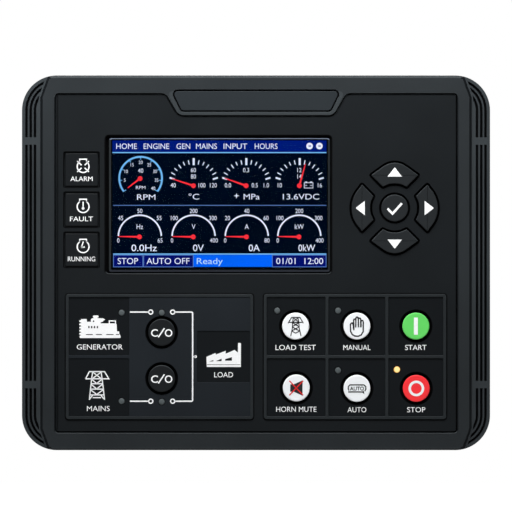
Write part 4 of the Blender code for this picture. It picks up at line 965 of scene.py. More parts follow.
@dataclass
class Studio:
    """Camera, soft light and white surroundings.

    Attributes:
        view_width: Width that the picture spans at the front of the object.
        view_height: Height that the camera looks at.
        distance: From the camera to the front of the object.
        sensor: Width of the camera's sensor in millimetres.
        floor_drop: Height of the floor, just below the picture's lower edge.
        floor_radius: Radius of the floor.
        ambient: Strength of the even light from all round.
        key_power: Power of the large lamp above the front, in watts.
        key_place: Middle of that lamp.
        key_size: Width and height of both lamps.
        rear_power: Power of the lamp behind the object, in watts.
        rear_place: Middle of that lamp.
        floor_glow: The floor's own light under the object, and what it gains further out.
        floor_fade: Distances between which it gains that light.
    """

    view_width: float = 0.2285
    view_height: float = 0.00303
    distance: float = 2.0
    sensor: float = 36.0
    floor_drop: float = -0.16
    floor_radius: float = 1.2
    ambient: float = 0.06
    key_power: float = 3.4
    key_place: tuple[float, float, float] = (-0.04, -0.22, 0.33)
    key_size: tuple[float, float] = (0.42, 0.18)
    rear_power: float = 2.4
    rear_place: tuple[float, float, float] = (0.06, 0.34, 0.30)
    floor_glow: Point = (0.68, 0.40)
    floor_fade: Point = (0.25, 0.75)

    def camera(self) -> None:
        """Set the long-lens camera straight in front."""
        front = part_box("front_bezel")[0].y
        data = bpy.data.cameras.new("camera")
        data.sensor_width = self.sensor
        data.lens = self.sensor * self.distance / self.view_width
        item = added("camera", data)
        item.location = (0.0, front - self.distance, self.view_height)
        item.rotation_euler = (math.pi / 2, 0.0, 0.0)
        bpy.context.scene.camera = item

    def lamp(self, name: str, power: float, place: tuple[float, float, float]) -> None:
        """Hang a large soft lamp that faces the object.

        Args:
            name: The lamp's name.
            power: Its power in watts.
            place: Its middle.
        """
        data = bpy.data.lights.new(name, "AREA")
        data.shape = "RECTANGLE"
        data.size, data.size_y = self.key_size
        data.energy = power
        item = added(name, data)
        item.location = place
        item.rotation_euler = Vector(place).to_track_quat("Z", "Y").to_euler()

    def seen(self, graph: Graph) -> Value:
        """1 for rays that show the background in the picture, in gloss or through glass."""
        rays = [graph.add("ShaderNodeLightPath", output=name)
                for name in ("Is Camera Ray", "Is Glossy Ray", "Is Transmission Ray")]
        return graph.add("ShaderNodeMath", {"operation": "ADD", "use_clamp": True},
                         {0: rays[0] + rays[1], 1: rays[2]})

    def surroundings(self) -> None:
        """Make the world white where it is seen, and a plain even light elsewhere."""
        world = bpy.data.worlds.new("studio")
        bpy.context.scene.world = world
        graph = Graph(world)
        background = graph.tree.nodes["Background"]
        background.inputs["Color"].default_value = (1.0, 1.0, 1.0, 1.0)
        seen = self.seen(graph)
        graph.feed(background.inputs["Strength"], self.ambient + (1 - self.ambient) * seen)

    def floor(self) -> None:
        """Lay the white floor, which brightens to the background's white away from the object."""
        item = Solid().prism(circle(self.floor_radius), 0.0, BEYOND).object("floor")
        item.rotation_euler = (-math.pi / 2, 0.0, 0.0)
        item.location.z = self.floor_drop
        graph = Graph(bpy.data.materials.new("floor_white"))
        away = graph.add("ShaderNodeVectorMath", {"operation": "LENGTH"}, {0: graph.place()},
                         "Value")
        near, more = self.floor_glow
        glow = near + more * away.between(*self.floor_fade)
        item.data.materials.append(graph.set(
            Base_Color=(0.3, 0.3, 0.3, 1.0), Roughness=0.9, Specular_IOR_Level=0.0,
            Emission_Color=(1.0, 1.0, 1.0, 1.0), Emission_Strength=glow * self.seen(graph)))

    def build(self) -> None:
        """Set up everything that isn't part of the object."""
        bpy.context.scene.view_settings.view_transform = "Standard"
        self.camera()
        self.lamp("key_lamp", self.key_power, self.key_place)
        self.lamp("rear_lamp", self.rear_power, self.rear_place)
        self.surroundings()
        self.floor()


@dataclass
class Bezel:
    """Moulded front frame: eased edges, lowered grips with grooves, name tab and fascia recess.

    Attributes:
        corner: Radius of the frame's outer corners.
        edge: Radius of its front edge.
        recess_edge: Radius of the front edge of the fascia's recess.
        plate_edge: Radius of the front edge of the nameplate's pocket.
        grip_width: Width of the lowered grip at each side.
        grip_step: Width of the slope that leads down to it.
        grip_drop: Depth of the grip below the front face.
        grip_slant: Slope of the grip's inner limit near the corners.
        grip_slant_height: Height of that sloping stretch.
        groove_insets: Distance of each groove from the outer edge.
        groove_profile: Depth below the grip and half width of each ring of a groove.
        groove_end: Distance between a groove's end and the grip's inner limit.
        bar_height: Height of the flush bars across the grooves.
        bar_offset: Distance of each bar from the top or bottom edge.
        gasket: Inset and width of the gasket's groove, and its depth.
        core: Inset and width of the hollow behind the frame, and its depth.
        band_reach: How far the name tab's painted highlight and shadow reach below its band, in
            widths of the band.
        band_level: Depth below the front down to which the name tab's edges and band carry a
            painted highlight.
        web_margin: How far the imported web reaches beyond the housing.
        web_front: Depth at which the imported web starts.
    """

    corner: float = 0.0156
    edge: float = 0.0012
    recess_edge: float = 0.00045
    plate_edge: float = 0.00035
    grip_width: float = 0.0082
    grip_step: float = 0.0011
    grip_drop: float = 0.0012
    grip_slant: float = 0.36
    grip_slant_height: float = 0.0098
    groove_insets: tuple[float, ...] = (0.0020, 0.0039, 0.0058)
    groove_profile: tuple[Point, ...] = ((-0.0002, 0.00064), (0.0, 0.00060), (0.00008, 0.00048),
                                         (0.00025, 0.00038), (0.0009, 0.00032),
                                         (0.0011, 0.00020))
    groove_end: float = 0.0008
    bar_height: float = 0.0033
    bar_offset: float = 0.0293
    gasket: tuple[float, float, float] = (0.0030, 0.0030, 0.0016)
    core: tuple[float, float, float] = (0.0075, 0.0020, 0.0060)
    band_reach: float = 1.2
    band_level: float = 0.0001
    web_margin: float = 0.0010
    web_front: float = -0.00795
    name: str = "bezel_moulding"

    def __post_init__(self) -> None:
        """Take the frame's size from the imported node."""
        low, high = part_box("front_bezel")
        self.width = high.x - low.x
        self.height = high.z - low.z
        self.front = low.y

    def outline(self, inset: float = 0.0) -> Outline:
        """Outer edge of the frame, or a line at an even inset inside it."""
        return rectangle(self.width - 2 * inset, self.height - 2 * inset, self.corner - inset,
                         steps=2 * CORNER_STEPS)

    def grip(self, side: float) -> Outline:
        """Lowered zone at the left side, open beyond the outer edge.

        Args:
            side: How far the inner limit moves towards the middle.

        Returns:
            The zone's outline.
        """
        inner = -self.width / 2 + self.grip_width
        start = self.height / 2 - self.grip_slant_height
        end = self.height / 2 + BEYOND
        far = inner + self.grip_slant * (end - start)
        outside = -self.width / 2 - BEYOND
        return [(inner + side, -start), (inner + side, start), (far + side, end), (outside, end),
                (outside, -end), (far + side, -end)]

    def groove_end_points(self, inset: float) -> Outline:
        """Points round the top corner, from the side to the grip's slanted end.

        Args:
            inset: Distance of the line from the outer edge.

        Returns:
            The points, from the side upwards.
        """
        radius = self.corner - inset
        centre_x = self.corner - self.width / 2
        centre_z = self.height / 2 - self.corner
        side = self.grip_width - self.groove_end - self.corner
        rise = math.sqrt(radius ** 2 - side ** 2)
        across = side
        start = self.height / 2 - self.grip_slant_height
        if centre_z + rise > start:
            offset = side + self.grip_slant * (centre_z - start)
            square = 1 + self.grip_slant ** 2
            root = math.sqrt(max(radius ** 2 * square - offset ** 2, 0.0))
            rise = (root - offset * self.grip_slant) / square
            across = offset + self.grip_slant * rise
        end = math.degrees(math.atan2(rise, across))
        return arc((centre_x, centre_z), radius, 180.0, end, CORNER_STEPS)

    def grooves(self, tool: Solid) -> None:
        """Add every stretch of every groove to a cutting tool."""
        floor = self.front + self.grip_drop
        edge = -self.width / 2
        limit = self.height / 2 - self.bar_offset - self.bar_height / 2
        for inset in self.groove_insets:
            tops: list[Ring] = []
            middles: list[Ring] = []
            for depth, half in self.groove_profile:
                outer = self.groove_end_points(inset - half)
                inner = self.groove_end_points(inset + half)
                start = limit + self.bar_height
                tops.append((floor + depth, [(edge + inset - half, start), *outer, *inner[::-1],
                                             (edge + inset + half, start)][::-1]))
                middles.append((floor + depth, rectangle(2 * half, 2 * limit,
                                                         centre=(edge + inset, 0.0))))
            for flip_x in (False, True):
                tool.stack([(y, mirrored(line, flip_x, False)) for y, line in middles])
                for flip_z in (False, True):
                    tool.stack([(y, mirrored(line, flip_x, flip_z)) for y, line in tops])

    def grips(self, tool: Solid) -> None:
        """Add both lowered grips, with a soft slope, to a cutting tool."""
        for flip in (False, True):
            rings: list[Ring] = [(self.front - BEYOND, mirrored(self.grip(self.grip_step), flip,
                                                                False))]
            for step in range(2 * EASE_STEPS + 1):
                share = step / (2 * EASE_STEPS)
                spread = self.grip_step * (1 + math.cos(math.pi * share)) / 2
                rings.append((self.front + self.grip_drop * share,
                              mirrored(self.grip(spread), flip, False)))
            tool.stack(rings)

    def inset(self, x: float, z: float) -> float:
        """Distance of a place from the frame's outer edge."""
        across = abs(x) - self.width / 2 + self.corner
        along = abs(z) - self.height / 2 + self.corner
        if across > 0 and along > 0:
            return self.corner - math.hypot(across, along)
        return self.corner - max(across, along)

    def finish_of(self, face: bpy.types.MeshPolygon, plate_limit: float) -> int:
        """Index of the finish that a face of the frame gets.

        Args:
            face: The face.
            plate_limit: Height above which the nameplate's pocket lies.

        Returns:
            0 for the frame, 1 for painted highlights on edges and ribs, 2 for painted shade on
            slopes and 3 for painted shadow in deep gaps.
        """
        x, y, z = face.center
        level = y - self.front
        inset = self.inset(x, z)
        grip = abs(x) > self.width / 2 - self.grip_width - self.grip_slant_height / 2
        if level < PRINT_LIFT or level > 2 * self.grip_drop:
            return 0
        # Name tab: painted highlight on its upper edges and band, painted shadow in its pocket.
        if z > plate_limit and inset > 2 * self.edge and not grip:
            light = face.normal.z > TILTED or level < self.band_level
            return 1 if level < self.plate_edge and light else 3
        # Grip: painted highlight on the rib tops, painted shade on the slope and the groove
        # shoulders, painted shadow deep in the grooves.
        if grip and abs(level - self.grip_drop) < PRINT_LIFT:
            return 1
        if grip and inset > self.edge / 2:
            if level < self.grip_drop:
                return 2
            return 2 if level < self.grip_drop + self.groove_profile[3][0] else 3
        # Outer rounded edge: painted highlight on its front part, painted shade on its steeper
        # part.
        if inset < self.edge:
            if face.normal.z > 0.6 and abs(face.normal.y) < 0.8:
                return 2
            return 1 if abs(face.normal.y) > 0.55 else 2 if level < self.edge else 0
        # Edge of the fascia's recess: painted highlight where it faces up, painted shade elsewhere.
        return 1 if level < self.recess_edge and face.normal.z > TILTED else 2

    def annulus(self, item: bpy.types.Object, inset: float, width: float, depth: float) -> None:
        """Cut an even channel into the rear of the flange.

        Args:
            item: The frame.
            inset: Distance of the channel's outer wall from the outer edge.
            width: Width of the channel.
            depth: How deep it runs in from the rear.
        """
        carve(item, Solid().prism(self.outline(inset), -depth, BEYOND))
        carve(item, Solid().prism(self.outline(inset + width), -depth - CLEAR, 0.0), Cut.JOIN)

    def build(self, packed: bpy.types.Object, recess: Outline, recess_floor: float,
              plate: Nameplate) -> bpy.types.Object:
        """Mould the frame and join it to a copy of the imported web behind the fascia.

        Args:
            packed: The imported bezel.
            recess: Outline of the fascia's recess.
            recess_floor: Depth of the recess.
            plate: The nameplate that it holds.

        Returns:
            The frame.
        """
        item = Solid().stack(eased(self.outline(), self.front, 0.0, self.edge)).object(self.name)
        self.annulus(item, *self.gasket)
        self.annulus(item, *self.core)
        tool = Solid()
        self.grips(tool)
        carve(item, tool)
        tool = Solid()
        self.grooves(tool)
        carve(item, tool)
        carve(item, Solid().stack(eased(recess, self.front, recess_floor, self.recess_edge, 1)))
        outline = plate.outline()
        carve(item, Solid().prism(plate.around(plate.gap + plate.band[0], 0.0),
                                  self.front - BEYOND, self.front + plate.band[1]))
        carve(item, Solid().stack(eased(grown(outline, plate.gap), self.front,
                                        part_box("nameplate")[1].y + CLEAR, self.plate_edge, 1)))
        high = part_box("rear_cover")[1]
        window = rectangle(2 * (high.x + self.web_margin), 2 * (high.z + self.web_margin))
        carve(item, Solid().prism(window, self.web_front, BEYOND))
        web = copied(packed)
        carve(web, Solid().prism(window, self.web_front, BEYOND), Cut.KEEP)
        carve(item, web, Cut.JOIN)
        fitted(item, "front_bezel", "bezel_plastic", made(BEZEL_PLASTIC), made(EDGE_HIGHLIGHT),
               made(CELL_AND_PAINTED_SHADE), made(PAINTED_SHADOW))
        plate_limit = min(z for _, z in outline) - plate.gap - self.band_reach * plate.band[0]
        # Painted highlight, shade and shadow by where each face lies and which way it faces.
        for face in item.data.polygons:
            face.material_index = self.finish_of(face, plate_limit)
        return item


Cell = tuple[float, float, float, float]


@dataclass
class Fascia:
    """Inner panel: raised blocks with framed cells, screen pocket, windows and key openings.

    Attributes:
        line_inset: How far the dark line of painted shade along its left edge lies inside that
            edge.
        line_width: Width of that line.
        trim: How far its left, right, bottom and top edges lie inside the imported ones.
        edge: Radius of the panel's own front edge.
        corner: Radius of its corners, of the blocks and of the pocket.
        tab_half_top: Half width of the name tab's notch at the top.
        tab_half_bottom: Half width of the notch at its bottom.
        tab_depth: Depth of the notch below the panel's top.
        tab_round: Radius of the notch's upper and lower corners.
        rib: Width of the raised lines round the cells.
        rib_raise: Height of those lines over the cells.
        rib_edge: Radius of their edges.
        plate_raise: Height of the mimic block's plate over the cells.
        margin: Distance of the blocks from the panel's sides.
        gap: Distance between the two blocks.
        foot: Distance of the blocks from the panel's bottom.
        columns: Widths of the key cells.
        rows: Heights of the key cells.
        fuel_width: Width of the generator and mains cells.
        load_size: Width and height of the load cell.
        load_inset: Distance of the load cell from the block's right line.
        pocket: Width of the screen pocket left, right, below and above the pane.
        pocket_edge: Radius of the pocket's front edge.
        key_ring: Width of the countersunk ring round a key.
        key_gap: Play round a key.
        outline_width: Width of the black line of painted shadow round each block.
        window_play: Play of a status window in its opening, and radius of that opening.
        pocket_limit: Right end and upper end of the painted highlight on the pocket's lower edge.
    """

    line_inset: float = 0.00090
    line_width: float = 0.00038
    trim: tuple[float, float, float, float] = (0.0004, 0.0002, 0.00025, 0.0006)
    edge: float = 0.00045
    corner: float = 0.0013
    tab_half_top: float = 0.0405
    tab_half_bottom: float = 0.03476
    tab_depth: float = 0.00985
    tab_round: tuple[float, float] = (0.0032, 0.0044)
    rib: float = 0.00135
    rib_raise: float = 0.0006
    rib_edge: float = 0.00025
    plate_raise: float = 0.0003
    margin: float = 0.00485
    gap: float = 0.00465
    foot: float = 0.0060
    columns: tuple[float, ...] = (0.0262, 0.0254, 0.0245)
    rows: tuple[float, ...] = (0.0260, 0.0259)
    fuel_width: float = 0.0270
    load_size: tuple[float, float] = (0.0236, 0.0229)
    load_inset: float = 0.0002
    pocket: tuple[float, float, float, float] = (0.00116, 0.00030, 0.00040, 0.00050)
    pocket_edge: float = 0.0007
    key_ring: float = 0.00128
    key_gap: float = 0.0004
    outline_width: float = 0.00045
    window_play: float = 0.0006
    pocket_limit: Point = (0.036, -0.003)
    name: str = "fascia_moulding"

    def __post_init__(self) -> None:
        """Take the panel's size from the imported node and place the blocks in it."""
        low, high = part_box("fascia_panel")
        self.left, self.right = low.x, high.x
        self.bottom, self.top = low.z, high.z
        self.back = high.y
        self.front = low.y + self.rib_raise
        self.key_block_width = sum(self.columns) + (len(self.columns) + 1) * self.rib
        self.block_height = sum(self.rows) + (len(self.rows) + 1) * self.rib
        self.block_bottom = self.bottom + self.foot
        self.block_top = self.block_bottom + self.block_height
        self.mimic_left = self.left + self.margin
        self.mimic_right = self.right - self.margin - self.key_block_width - self.gap
        self.key_block_left = self.mimic_right + self.gap

    def outline(self) -> Outline:
        """Edge of the panel, with the notch for the name tab in its top."""
        left, right = self.left + self.trim[0], self.right - self.trim[1]
        bottom, top = self.bottom + self.trim[2], self.top - self.trim[3]
        tab = top - self.tab_depth
        upper, lower = self.tab_round
        return filleted([
            (right, bottom, self.corner), (right, top, self.corner),
            (self.tab_half_top, top, upper), (self.tab_half_bottom, tab, lower),
            (-self.tab_half_bottom, tab, lower), (-self.tab_half_top, top, upper),
            (left, top, self.corner), (left, bottom, self.corner),
        ])

    def grid(self, left: float, columns: Sequence[float]) -> list[Cell]:
        """Limits of the cells of a block, row by row from its top left.

        Args:
            left: Left edge of the block.
            columns: Widths of its cells.

        Returns:
            Left, right, bottom and top of each cell.
        """
        cells: list[Cell] = []
        top = self.block_top - self.rib
        for height in self.rows:
            start = left + self.rib
            for width in columns:
                cells.append((start, start + width, top - height, top))
                start += width + self.rib
            top -= height + self.rib
        return cells

    def load_cell(self) -> Cell:
        """Limits of the load cell at the right of the mimic block."""
        right = self.mimic_right - self.rib - self.load_inset
        centre = (self.block_top + self.block_bottom) / 2
        width, height = self.load_size
        return right - width, right, centre - height / 2, centre + height / 2

    @staticmethod
    def box(cell: Cell, radius: float = 0.0) -> Outline:
        """Outline of a cell."""
        return rectangle(cell[1] - cell[0], cell[3] - cell[2], radius,
                         ((cell[0] + cell[1]) / 2, (cell[2] + cell[3]) / 2), SMALL_STEPS)

    def blocks(self) -> Solid:
        """Both raised blocks, with eased outer edges."""
        tool = Solid()
        for left, right in ((self.mimic_left, self.mimic_right),
                            (self.key_block_left, self.key_block_left + self.key_block_width)):
            outline = self.box((left, right, self.block_bottom, self.block_top), self.corner)
            tool.stack(eased(outline, self.front - self.rib_raise, (self.front + self.back) / 2,
                             self.rib_edge))
        return tool

    def cells(self) -> Solid:
        """Cutter of every cell down to the panel's face."""
        tool = Solid()
        round_corner = 2 * self.rib_edge
        raised = self.front - self.rib_raise
        plate = self.front - self.plate_raise
        for cell in self.grid(self.key_block_left, self.columns):
            tool.stack(eased(self.box(cell, round_corner), raised, self.front, self.rib_edge, 1))
        for cell in [*self.grid(self.mimic_left, (self.fuel_width,)), self.load_cell()]:
            tool.stack(eased(self.box(cell, round_corner), plate, self.front,
                             self.rib_edge / 2, 1))
        return tool

    def mimic_plate(self) -> Solid:
        """Cutter that lowers the mimic block's plate inside its frame."""
        inner = (self.mimic_left + self.rib, self.mimic_right - self.rib,
                 self.block_bottom + self.rib, self.block_top - self.rib)
        return Solid().stack(eased(self.box(inner, 2 * self.rib_edge),
                                   self.front - self.rib_raise, self.front - self.plate_raise,
                                   self.rib_edge / 2, 1))

    def key_mouth(self, tool: Solid, centre: Point, radius: float, ring: float,
                  level: float) -> None:
        """Add the countersunk opening of a round key to a cutter.

        Args:
            tool: The cutter.
            centre: Middle of the key.
            radius: Radius of the key.
            ring: Width of the ring round it.
            level: Depth of the surface round it.
        """
        hole = radius + self.key_gap
        mouth = radius + ring
        depth = mouth - hole
        tool.turned([(mouth + self.edge / 3, level - BEYOND), (mouth + self.edge / 3, level),
                     (mouth, level + self.edge / 3), (hole, level + 2 * depth),
                     (hole, self.back + BEYOND)], centre)

    def flat_openings(self) -> Solid:
        """Cutter of the screen pocket, the windows and the lamp holes."""
        tool = Solid()
        reach = self.back + BEYOND
        low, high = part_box("display_window")
        left, right, below, above = self.pocket
        tool.stack(eased(self.box((low.x - left, high.x + right, low.z - below, high.z + above),
                                  self.corner), self.front, reach, self.pocket_edge, 1))
        for name in StatusRow.NAMES:
            low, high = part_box(f"{name}_window")
            play = self.window_play
            tool.stack(eased(rectangle(high.x - low.x + play, high.z - low.z + play, play,
                                       middle(f"{name}_window"), SMALL_STEPS),
                             self.front, reach, CLEAR, 1))
        radius = LampSet.radius + CLEAR / 3
        for name in LampSet.NAMES:
            tool.turned([(radius + CLEAR / 2, self.front - BEYOND),
                         (radius + CLEAR / 2, self.front), (radius, self.front + CLEAR / 2),
                         (radius, reach)], middle(f"lamp_{name}"), 32)
        return tool

    def finish_of(self, face: bpy.types.MeshPolygon) -> int:
        """Index of the finish that a face of the panel gets.

        Args:
            face: The face.

        Returns:
            0 for the panel, 1 for raised lines and for painted highlights on edges that face up or
            left, 2 for the mimic plate, 3 for cells and 4 for painted shadow on the walls of
            openings and on the other edges.
        """
        x, y, z = face.center
        level = y - self.front
        if level > PRINT_LIFT:
            inside = (self.left + self.rib < x < self.right - self.rib
                      and self.bottom + self.rib < z < self.top - self.rib
                      and not (abs(x) < self.tab_half_top + self.rib
                               and z > self.top - self.tab_depth - self.rib))
            across, _, up = face.normal
            # Outer edges: painted highlight where they face up or left, painted shadow elsewhere.
            if not inside:
                light = across < -TILTED or up > TILTED
                return 1 if level < self.edge and light else 4
            # Painted highlight on the pocket's upward edge; painted shadow on the walls of openings
            # and key mouths.
            right, above = self.pocket_limit
            pocket = level < self.pocket_edge and up > TILTED and x < right and z < above
            return 1 if pocket and z > self.block_top else 4 if face.normal.y < FACING else 0
        if level < -self.plate_raise - PRINT_LIFT:
            return 1
        if level < -PRINT_LIFT:
            on_plate = (self.mimic_left + self.rib < x < self.mimic_right - self.rib
                        and self.block_bottom + self.rib < z < self.block_top - self.rib)
            return 2 if on_plate else 1
        cells = [*self.grid(self.key_block_left, self.columns),
                 *self.grid(self.mimic_left, (self.fuel_width,)), self.load_cell()]
        return 3 if any(left < x < right and low < z < high
                        for left, right, low, high in cells) else 0

    def build(self, keys: RoundKeys, pad: MenuPad) -> bpy.types.Object:
        """Mould the panel.

        Args:
            keys: The round keys that it makes room for.
            pad: The menu keys that it makes room for.

        Returns:
            The panel.
        """
        item = Solid().stack(eased(self.outline(), self.front, self.back,
                                   self.edge)).object(self.name)
        carve(item, self.blocks(), Cut.JOIN)
        carve(item, self.mimic_plate())
        carve(item, self.cells())
        carve(item, self.flat_openings())
        tool = Solid()
        for name in keys.NAMES:
            level = self.front - (self.plate_raise if name.endswith("breaker") else 0.0)
            self.key_mouth(tool, middle(f"key_{name}"), keys.radius, self.key_ring, level)
        self.key_mouth(tool, pad.centre(), pad.confirm_radius, pad.ring, self.front)
        for name in pad.TURNS:
            hole = pad.fan(name, self.key_gap - pad.ring)
            tool.stack([(self.front - BEYOND, pad.fan(name, self.edge / 3)),
                        (self.front, pad.fan(name, self.edge / 3)),
                        (self.front + self.edge / 3, pad.fan(name)),
                        (self.front + 2 * pad.ring, hole), (self.back + BEYOND, hole)])
        carve(item, tool)
        fitted(item, "fascia_panel", "fascia_plastic", made(FASCIA_PLASTIC), made(LINE_AND_PAINTED_LIGHT),
               made(PLATE_PLASTIC), made(CELL_AND_PAINTED_SHADE), made(PAINTED_SHADOW))
        for face in item.data.polygons:
            face.material_index = self.finish_of(face)
        # Painted shadow: a black line round each block, and a dark line of painted shade inside the
        # panel's left edge.
        outlines = Drawing(made(PAINTED_SHADOW))
        for left, right in ((self.mimic_left, self.mimic_right),
                            (self.key_block_left, self.key_block_left + self.key_block_width)):
            outline = self.box((left, right, self.block_bottom, self.block_top), self.corner)
            outlines.ribbon(grown(outline, self.outline_width / 2), self.outline_width,
                            closed=True)
        x = self.left + self.trim[0] + self.line_inset
        outlines.ribbon([(x, self.bottom + self.corner), (x, self.top - self.corner)],
                        self.line_width)
        outlines.place("block_outlines", self.front)
        return item


def shade(item: bpy.types.Object, depth: float, top_highlight: bool) -> None:
    """Paint shade on a key's flanks, and a highlight on a dark key's upper edge.

    Args:
        item: The key.
        depth: Where the painted shade on its flanks starts.
        top_highlight: Whether its upper edge gets a painted highlight.
    """
    for face in item.data.polygons:
        if face.center.y > depth:
            face.material_index = 1
        elif top_highlight and face.normal.z > TILTED and face.normal.y > -0.97:
            face.material_index = 2


@dataclass
class RoundKeys:
    """Function keys and changeover keys: round caps on retaining flanges.

    Attributes:
        radius: Radius of a cap.
        edge: Radius of its front edge.
        flange: Radius of the retaining flange.
        flange_thickness: Thickness of that flange.
        dish: How far the cap's middle lies below its edge.
    """

    NAMES: ClassVar[tuple[str, ...]] = ("test", "manual", "start", "mute", "auto", "stop",
                                        "generator_breaker", "mains_breaker")
    COLOURS: ClassVar[dict[str, tuple[str, Moulding]]] = {
        "test": ("key_white", KEY_WHITE), "manual": ("key_white", KEY_WHITE),
        "start": ("key_green", KEY_GREEN), "mute": ("key_white", KEY_WHITE),
        "auto": ("key_white", KEY_WHITE), "stop": ("key_red", KEY_RED),
        "generator_breaker": ("key_dark", KEY_DARK), "mains_breaker": ("key_dark", KEY_DARK),
    }
    radius: float = 0.00601
    edge: float = 0.00036
    flange: float = 0.00705
    flange_thickness: float = 0.0010
    dish: float = 0.00006

    def cap(self, name: str, radius: float, flange: float,
            centre: Point | None = None) -> bpy.types.Object:
        """Turn one key's cap with its flange.

        Args:
            name: Name of the key.
            radius: Radius of the cap.
            flange: Radius of its flange.
            centre: Its middle, if that isn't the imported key's.

        Returns:
            The cap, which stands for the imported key.
        """
        low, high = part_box(f"key_{name}")
        centre = centre or middle(f"key_{name}")
        step = high.y - self.flange_thickness
        flat = radius - self.edge
        dished = [(low.y + self.dish * (1 - share ** 2), circle(flat * share, centre))
                  for share in (0.05, 0.35, 0.6, 0.8, 0.92)]
        rings = [*dished, *eased(circle(radius, centre), low.y, step, self.edge),
                 (step, circle(flange, centre)), (high.y, circle(flange, centre))]
        item = Solid().stack(rings).object(f"{name}_cap")
        slot, finish = self.COLOURS.get(name, ("key_dark", MENU_KEY))
        # The cap's flanks get painted shade, and a dark cap's upper edge a painted highlight.
        fitted(item, f"key_{name}", slot, made(finish), made(PAINTED_SHADOW), made(EDGE_HIGHLIGHT),
               body=f"{name}_key")
        shade(item, low.y + 2 * self.edge, finish in (MENU_KEY, KEY_DARK))
        return item

    def build(self) -> None:
        """Make every round key."""
        for name in self.NAMES:
            self.cap(name, self.radius, self.flange)
            LOG.info("key %s", name)


@dataclass
class MenuPad:
    """Four fan-shaped menu keys round a confirming key.

    Attributes:
        inner: Radius of the fans' inner sides.
        reach_across: Reach of the left and right fans.
        reach_up: Reach of the upper and lower fans.
        peak: How far the point where their flanks meet lies beyond that reach.
        peak_round: Radius that rounds this point.
        shift: How far the pad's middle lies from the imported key's.
        half_gap: Half of the gap between two fans' openings.
        half_chord: Half width of a fan's outer side.
        outer: Radius of that outer side.
        corner: Radius of a fan's corners.
        ring: How far an opening's mouth stands off its key.
        edge: Radius of a key's front edge.
        lip: Width of the retaining flange.
        flange_thickness: Thickness of that flange.
        confirm_radius: Radius of the confirming key.
        confirm_flange: Radius of its flange.
        outer_share: Share of the outer side's arc between its rounded corners.
        inner_share: Share of the inner side's arc between its rounded corners.
    """

    TURNS: ClassVar[dict[str, int]] = {"right": 0, "up": 90, "left": 180, "down": 270}
    inner: float = 0.0101
    reach_across: float = 0.0201
    reach_up: float = 0.0213
    peak: float = 0.0019
    peak_round: float = 0.0093
    shift: Point = (-0.0002, -0.00035)
    half_gap: float = 0.0021
    half_chord: float = 0.0118
    outer: float = 0.0136
    corner: float = 0.0011
    ring: float = 0.00085
    edge: float = 0.00035
    lip: float = 0.0005
    flange_thickness: float = 0.0010
    confirm_radius: float = 0.0060
    confirm_flange: float = 0.0069
    outer_share: float = 5 / 7
    inner_share: float = 0.5

    def centre(self) -> Point:
        """Middle of the pad."""
        x, z = middle("key_confirm")
        return x + self.shift[0], z + self.shift[1]

    def fan(self, name: str, grow: float = 0.0) -> Outline:
        """Mouth of one fan's opening, moved outwards by a distance.

        Args:
            name: Direction that the fan points in.
            grow: Distance, negative to move inwards.

        Returns:
            The outline.
        """
        slope = self.half_gap * math.sqrt(2)
        inner = (math.sqrt(2 * self.inner ** 2 - slope ** 2) - slope) / 2
        inner_turn = math.degrees(math.atan2(inner, inner + slope))
        wide = self.half_chord + slope
        corners = [(inner + slope, -inner, self.corner), (wide, -self.half_chord, self.corner)]
        if self.TURNS[name] % 180:
            corners.append((self.reach_up + self.peak, 0.0, self.peak_round))
        else:
            outside = (math.degrees(math.asin(self.half_chord / self.outer)) * self.outer_share)
            corners += [(x, z, 0.0) for x, z in arc((self.reach_across - self.outer, 0.0),
                                                    self.outer, -outside, outside, 16)]
        corners += [(wide, self.half_chord, self.corner), (inner + slope, inner, self.corner)]
        inside = inner_turn * self.inner_share
        corners += [(x, z, 0.0) for x, z in arc((0.0, 0.0), self.inner, inside, -inside, 8)]
        turn = math.radians(self.TURNS[name])
        middle_x, middle_z = self.centre()
        placed = [(middle_x + x * math.cos(turn) - z * math.sin(turn),
                   middle_z + x * math.sin(turn) + z * math.cos(turn))
                  for x, z in filleted(corners, 8)]
        return grown(placed, grow) if grow else placed

    def build(self, keys: RoundKeys) -> None:
        """Make the four fans and the confirming key.

        Args:
            keys: The round keys, whose cap the confirming key shares.
        """
        for name in self.TURNS:
            low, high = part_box(f"key_{name}")
            step = high.y - self.flange_thickness
            lip = self.fan(name, self.lip)
            item = Solid().stack([*eased(self.fan(name, -self.ring), low.y, step, self.edge),
                                  (step, lip), (high.y, lip)]).object(f"{name}_cap")
            # The fan's flanks get painted shade, and its upper edge a painted highlight.
            fitted(item, f"key_{name}", "key_dark", made(MENU_KEY), made(PAINTED_SHADOW),
                   made(EDGE_HIGHLIGHT), body=f"{name}_key")
            shade(item, low.y + 2 * self.edge, True)
        keys.cap("confirm", self.confirm_radius, self.confirm_flange, self.centre())
        LOG.info("menu keys")


